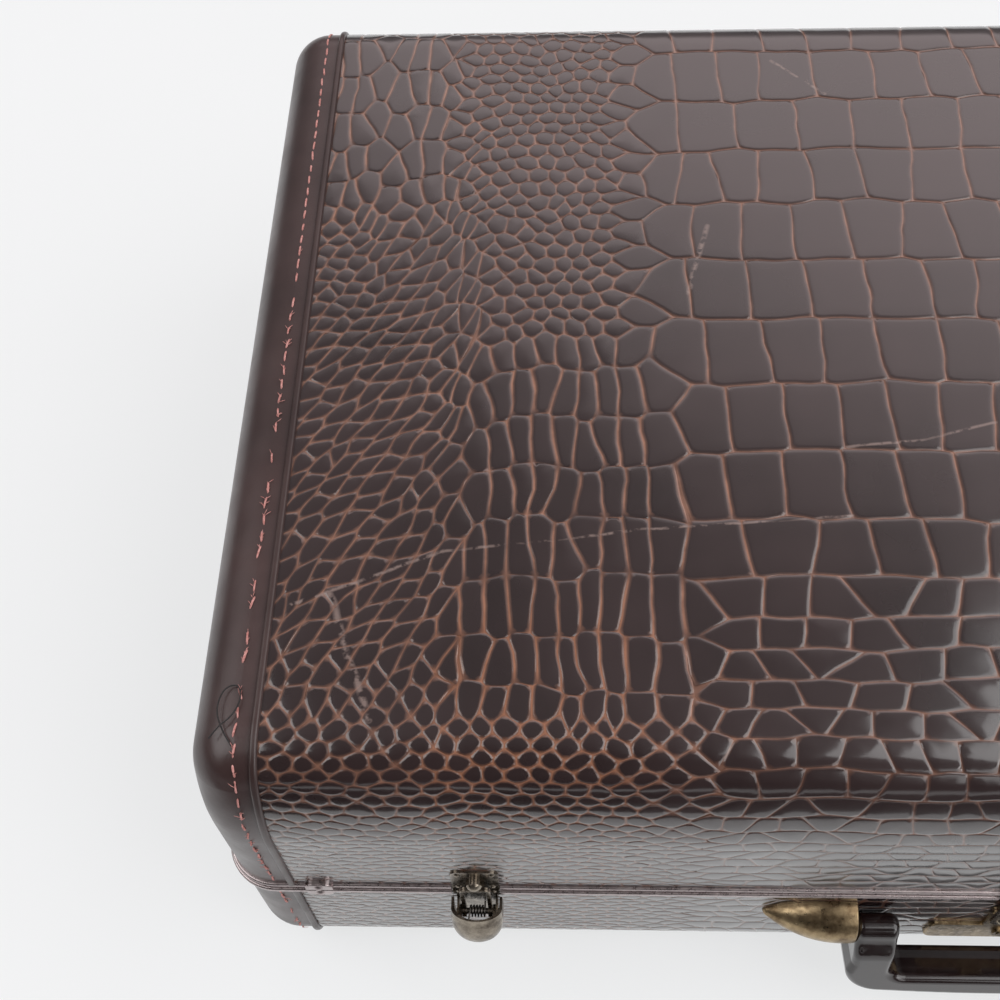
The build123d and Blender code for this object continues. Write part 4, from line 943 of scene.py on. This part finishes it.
def pocket(material):
    """The gathered cloth pocket on the lid's ceiling, pleated most at its open edge."""
    verts, faces = [], []
    columns, rows = 433, 29
    for i in range(rows):
        t = i / (rows - 1)
        y = POCKET_BACK + (POCKET_FRONT - POCKET_BACK) * t
        belly = POCKET_DROP * (math.sin(min(1.0, t * 1.15) * math.pi / 2) - 0.22 * step(t, 0.93, 0.02))
        depth = 0.6 + 1.9 * t + 1.0 * bump(t, 0.97, 0.05)
        for j in range(columns):
            x = -POCKET_HALF + 2 * POCKET_HALF * j / (columns - 1)
            edge = min(1.0, (POCKET_HALF - abs(x)) / 22.0)
            turn = 2.4 * noise.noise(Vector((x / 26.0, t * 1.6, 3.0))) + x / POCKET_PLEAT
            fold = math.sin(2 * math.pi * turn) * depth * (0.7 + 0.6 * noise.noise(Vector((x / 40.0, 0.0, 9.0))))
            z = POCKET_CEILING - (belly + 2.6 + fold) * math.sin(edge * math.pi / 2) ** 0.7 - 0.3
            verts.append(Vector((x, y, min(z, POCKET_CEILING - 0.2))) * MM)
    for i in range(rows - 1):
        for j in range(columns - 1):
            k = i * columns + j
            faces.append([k, k + 1, k + 1 + columns, k + columns])
    piece = whole("pocket_cloth", verts, faces, material, "lid")
    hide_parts("lid_pocket")


def stage():
    """Floor, backdrop light and the photograph's camera."""
    world = bpy.data.worlds.new("world")
    bpy.context.scene.world = world
    world.use_nodes = True
    tree = world.node_tree
    background = tree.nodes["Background"]
    background.inputs["Strength"].default_value = 1.0
    coords = tree.nodes.new("ShaderNodeTexCoord")
    split = tree.nodes.new("ShaderNodeSeparateXYZ")
    tree.links.new(coords.outputs["Generated"], split.inputs["Vector"])
    ramp = tree.nodes.new("ShaderNodeValToRGB")
    band = ramp.color_ramp
    band.elements[0].position = 0.02
    band.elements[0].color = (0.09, 0.09, 0.095, 1)
    band.elements[1].position = 0.45
    band.elements[1].color = (0.36, 0.34, 0.345, 1)
    last = band.elements.new(0.95)
    last.color = (0.25, 0.235, 0.24, 1)
    tree.links.new(split.outputs["Z"], ramp.inputs["Fac"])
    toward = tree.nodes.new("ShaderNodeVectorMath")
    toward.operation = "DOT_PRODUCT"
    toward.inputs[1].default_value = (0.30, 0.90, 0.0)
    tree.links.new(coords.outputs["Generated"], toward.inputs[0])
    masks = []
    for source, low, high in ((toward.outputs["Value"], 0.46, 0.72), (split.outputs["Z"], 0.30, 0.52)):
        span = tree.nodes.new("ShaderNodeMapRange")
        span.interpolation_type = "SMOOTHSTEP"
        span.inputs["From Min"].default_value = low
        span.inputs["From Max"].default_value = high
        tree.links.new(source, span.inputs["Value"])
        masks.append(span.outputs["Result"])
    product = tree.nodes.new("ShaderNodeMath")
    product.operation = "MULTIPLY"
    tree.links.new(masks[0], product.inputs[0])
    tree.links.new(masks[1], product.inputs[1])
    sheen = tree.nodes.new("ShaderNodeMix")
    sheen.data_type = "RGBA"
    inputs = [s for s in sheen.inputs if s.enabled]
    tree.links.new(product.outputs["Value"], inputs[0])
    tree.links.new(ramp.outputs["Color"], inputs[1])
    inputs[2].default_value = (1.55, 1.36, 1.37, 1)
    room = tree.nodes.new("ShaderNodeMapRange")
    room.inputs["From Min"].default_value = -0.45
    room.inputs["From Max"].default_value = 0.10
    room.inputs["To Min"].default_value = 0.30
    across = tree.nodes.new("ShaderNodeVectorMath")
    across.operation = "DOT_PRODUCT"
    across.inputs[1].default_value = (0.9, 1.0, 0.0)
    tree.links.new(coords.outputs["Generated"], across.inputs[0])
    tree.links.new(across.outputs["Value"], room.inputs["Value"])
    dimmed = tree.nodes.new("ShaderNodeMix")
    dimmed.data_type = "RGBA"
    dimmed.blend_type = "MULTIPLY"
    parts = [s for s in dimmed.inputs if s.enabled]
    parts[0].default_value = 1.0
    tree.links.new([s for s in sheen.outputs if s.enabled][0], parts[1])
    tree.links.new(room.outputs["Result"], parts[2])
    light_path = tree.nodes.new("ShaderNodeLightPath")
    mix = tree.nodes.new("ShaderNodeMix")
    mix.data_type = "RGBA"
    sockets = [s for s in mix.inputs if s.enabled]
    tree.links.new(light_path.outputs["Is Camera Ray"], sockets[0])
    tree.links.new([s for s in dimmed.outputs if s.enabled][0], sockets[1])
    sockets[2].default_value = (0.94, 0.95, 0.96, 1)
    tree.links.new([s for s in mix.outputs if s.enabled][0], background.inputs["Color"])

    mesh = bpy.data.meshes.new("floor")
    reach = 6.0
    mesh.from_pydata([(-reach, -reach, 0), (reach, -reach, 0), (reach, reach, 0), (-reach, reach, 0)], [], [(0, 1, 2, 3)])
    floor = bpy.data.objects.new("floor", mesh)
    bpy.context.scene.collection.objects.link(floor)
    m = Nodes("floor")
    cloud = m.noise(2.0, 2.0)
    m.color(m.ramp(cloud, [(0.3, (0.875, 0.88, 0.89)), (0.7, (0.885, 0.89, 0.90))]))
    m.fixed(Roughness=0.9)
    glow = m.add("ShaderNodeEmission")
    m.link(m.ramp(cloud, [(0.3, (0.915, 0.925, 0.93)), (0.7, (0.925, 0.935, 0.94))]), glow.inputs["Color"])
    rays = m.add("ShaderNodeLightPath")
    seen = m.math("MAXIMUM", rays.outputs["Is Camera Ray"], rays.outputs["Is Glossy Ray"])
    blend = m.add("ShaderNodeMixShader")
    m.link(m.math("MULTIPLY", seen, 0.72), blend.inputs["Fac"])
    m.link(m.shader.outputs["BSDF"], blend.inputs[1])
    m.link(glow.outputs["Emission"], blend.inputs[2])
    m.link(blend.outputs["Shader"], m.tree.nodes["Material Output"].inputs["Surface"])
    mesh.materials.append(m.material)

    def area(name, place, aim, size, power, color=(1, 1, 1)):
        lamp = bpy.data.lights.new(name, "AREA")
        lamp.shape = "RECTANGLE"
        lamp.size, lamp.size_y = size
        lamp.energy = power
        lamp.color = color
        holder = bpy.data.objects.new(name, lamp)
        holder.location = place
        holder.rotation_euler = (Vector(aim) - Vector(place)).to_track_quat("-Z", "Y").to_euler()
        bpy.context.scene.collection.objects.link(holder)

    area("key", (-2.4, -0.3, 2.6), (0, 0, 0.1), (3.0, 2.6), 58)
    area("fill", (2.0, -0.3, 2.4), (0, 0, 0.1), (3.4, 3.0), 74)
    area("window", (1.5, -1.9, 1.3), (0, 0, 0.1), (2.0, 1.2), 13)

    # A dark sheet on the floor in front of the case, seen only in glossy rays: a painted dark reflection along the
    # lid's rounded front edge.
    mesh = bpy.data.meshes.new("dark_reflection_card")
    mesh.from_pydata([(-1.6, -1.25, 0.004), (0.6, -1.25, 0.004), (0.6, -0.47, 0.004), (-1.6, -0.47, 0.004)], [], [(0, 1, 2, 3)])
    card = bpy.data.objects.new("dark_reflection_card", mesh)
    bpy.context.scene.collection.objects.link(card)
    m = Nodes("dark_reflection_card")
    m.color(m.ramp(m.noise(3.0, 2.0), [(0.3, (0.015, 0.012, 0.013)), (0.7, (0.03, 0.026, 0.028))]))
    mesh.materials.append(m.material)
    card.visible_camera = card.visible_diffuse = card.visible_shadow = card.visible_transmission = False

    lens = CAM_FOCAL_PIXELS / FRAME_PIXELS * SENSOR
    data = bpy.data.cameras.new("camera")
    data.sensor_width = SENSOR
    data.lens = lens
    forward = Vector(
        (
            -math.sin(CAM_YAW) * math.cos(CAM_PITCH),
            math.cos(CAM_YAW) * math.cos(CAM_PITCH),
            -math.sin(CAM_PITCH),
        )
    )
    right0 = Vector((math.cos(CAM_YAW), math.sin(CAM_YAW), 0.0))
    up0 = right0.cross(forward)
    right = right0 * math.cos(CAM_ROLL) + up0 * math.sin(CAM_ROLL)
    up = up0 * math.cos(CAM_ROLL) - right0 * math.sin(CAM_ROLL)
    camera = bpy.data.objects.new("camera", data)
    turn = Matrix((right, up, -forward)).transposed().to_4x4()
    camera.matrix_world = Matrix.Translation(Vector(CAM_PLACE) * MM) @ turn
    bpy.context.scene.collection.objects.link(camera)
    bpy.context.scene.camera = camera


def main():
    bpy.ops.wm.read_factory_settings(use_empty=True)
    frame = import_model()
    stage()
    loose_thread(thread_material("black_thread", (0.012, 0.010, 0.010), (0.03, 0.027, 0.027)))
    slots = set_materials(frame)
    for half, seed, top in (("lid", PATTERN_SEED, 0.2), ("base", PATTERN_SEED + 20, 0.0)):
        cover = croc_cover(f"croc_{half}", half, seed, top)
        cover.data.materials.append(slots["croc_leather"])
        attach(cover, half)
        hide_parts(f"{half}_cover")
    rng = np.random.default_rng(5)
    salmon = thread_material("salmon_thread", (0.42, 0.15, 0.13), (0.66, 0.34, 0.31))
    for half in ("lid", "base"):
        stitches(half, salmon, rng)
    pocket(slots["lining_cloth"])
    bpy.context.scene.view_settings.view_transform = "Standard"


main()
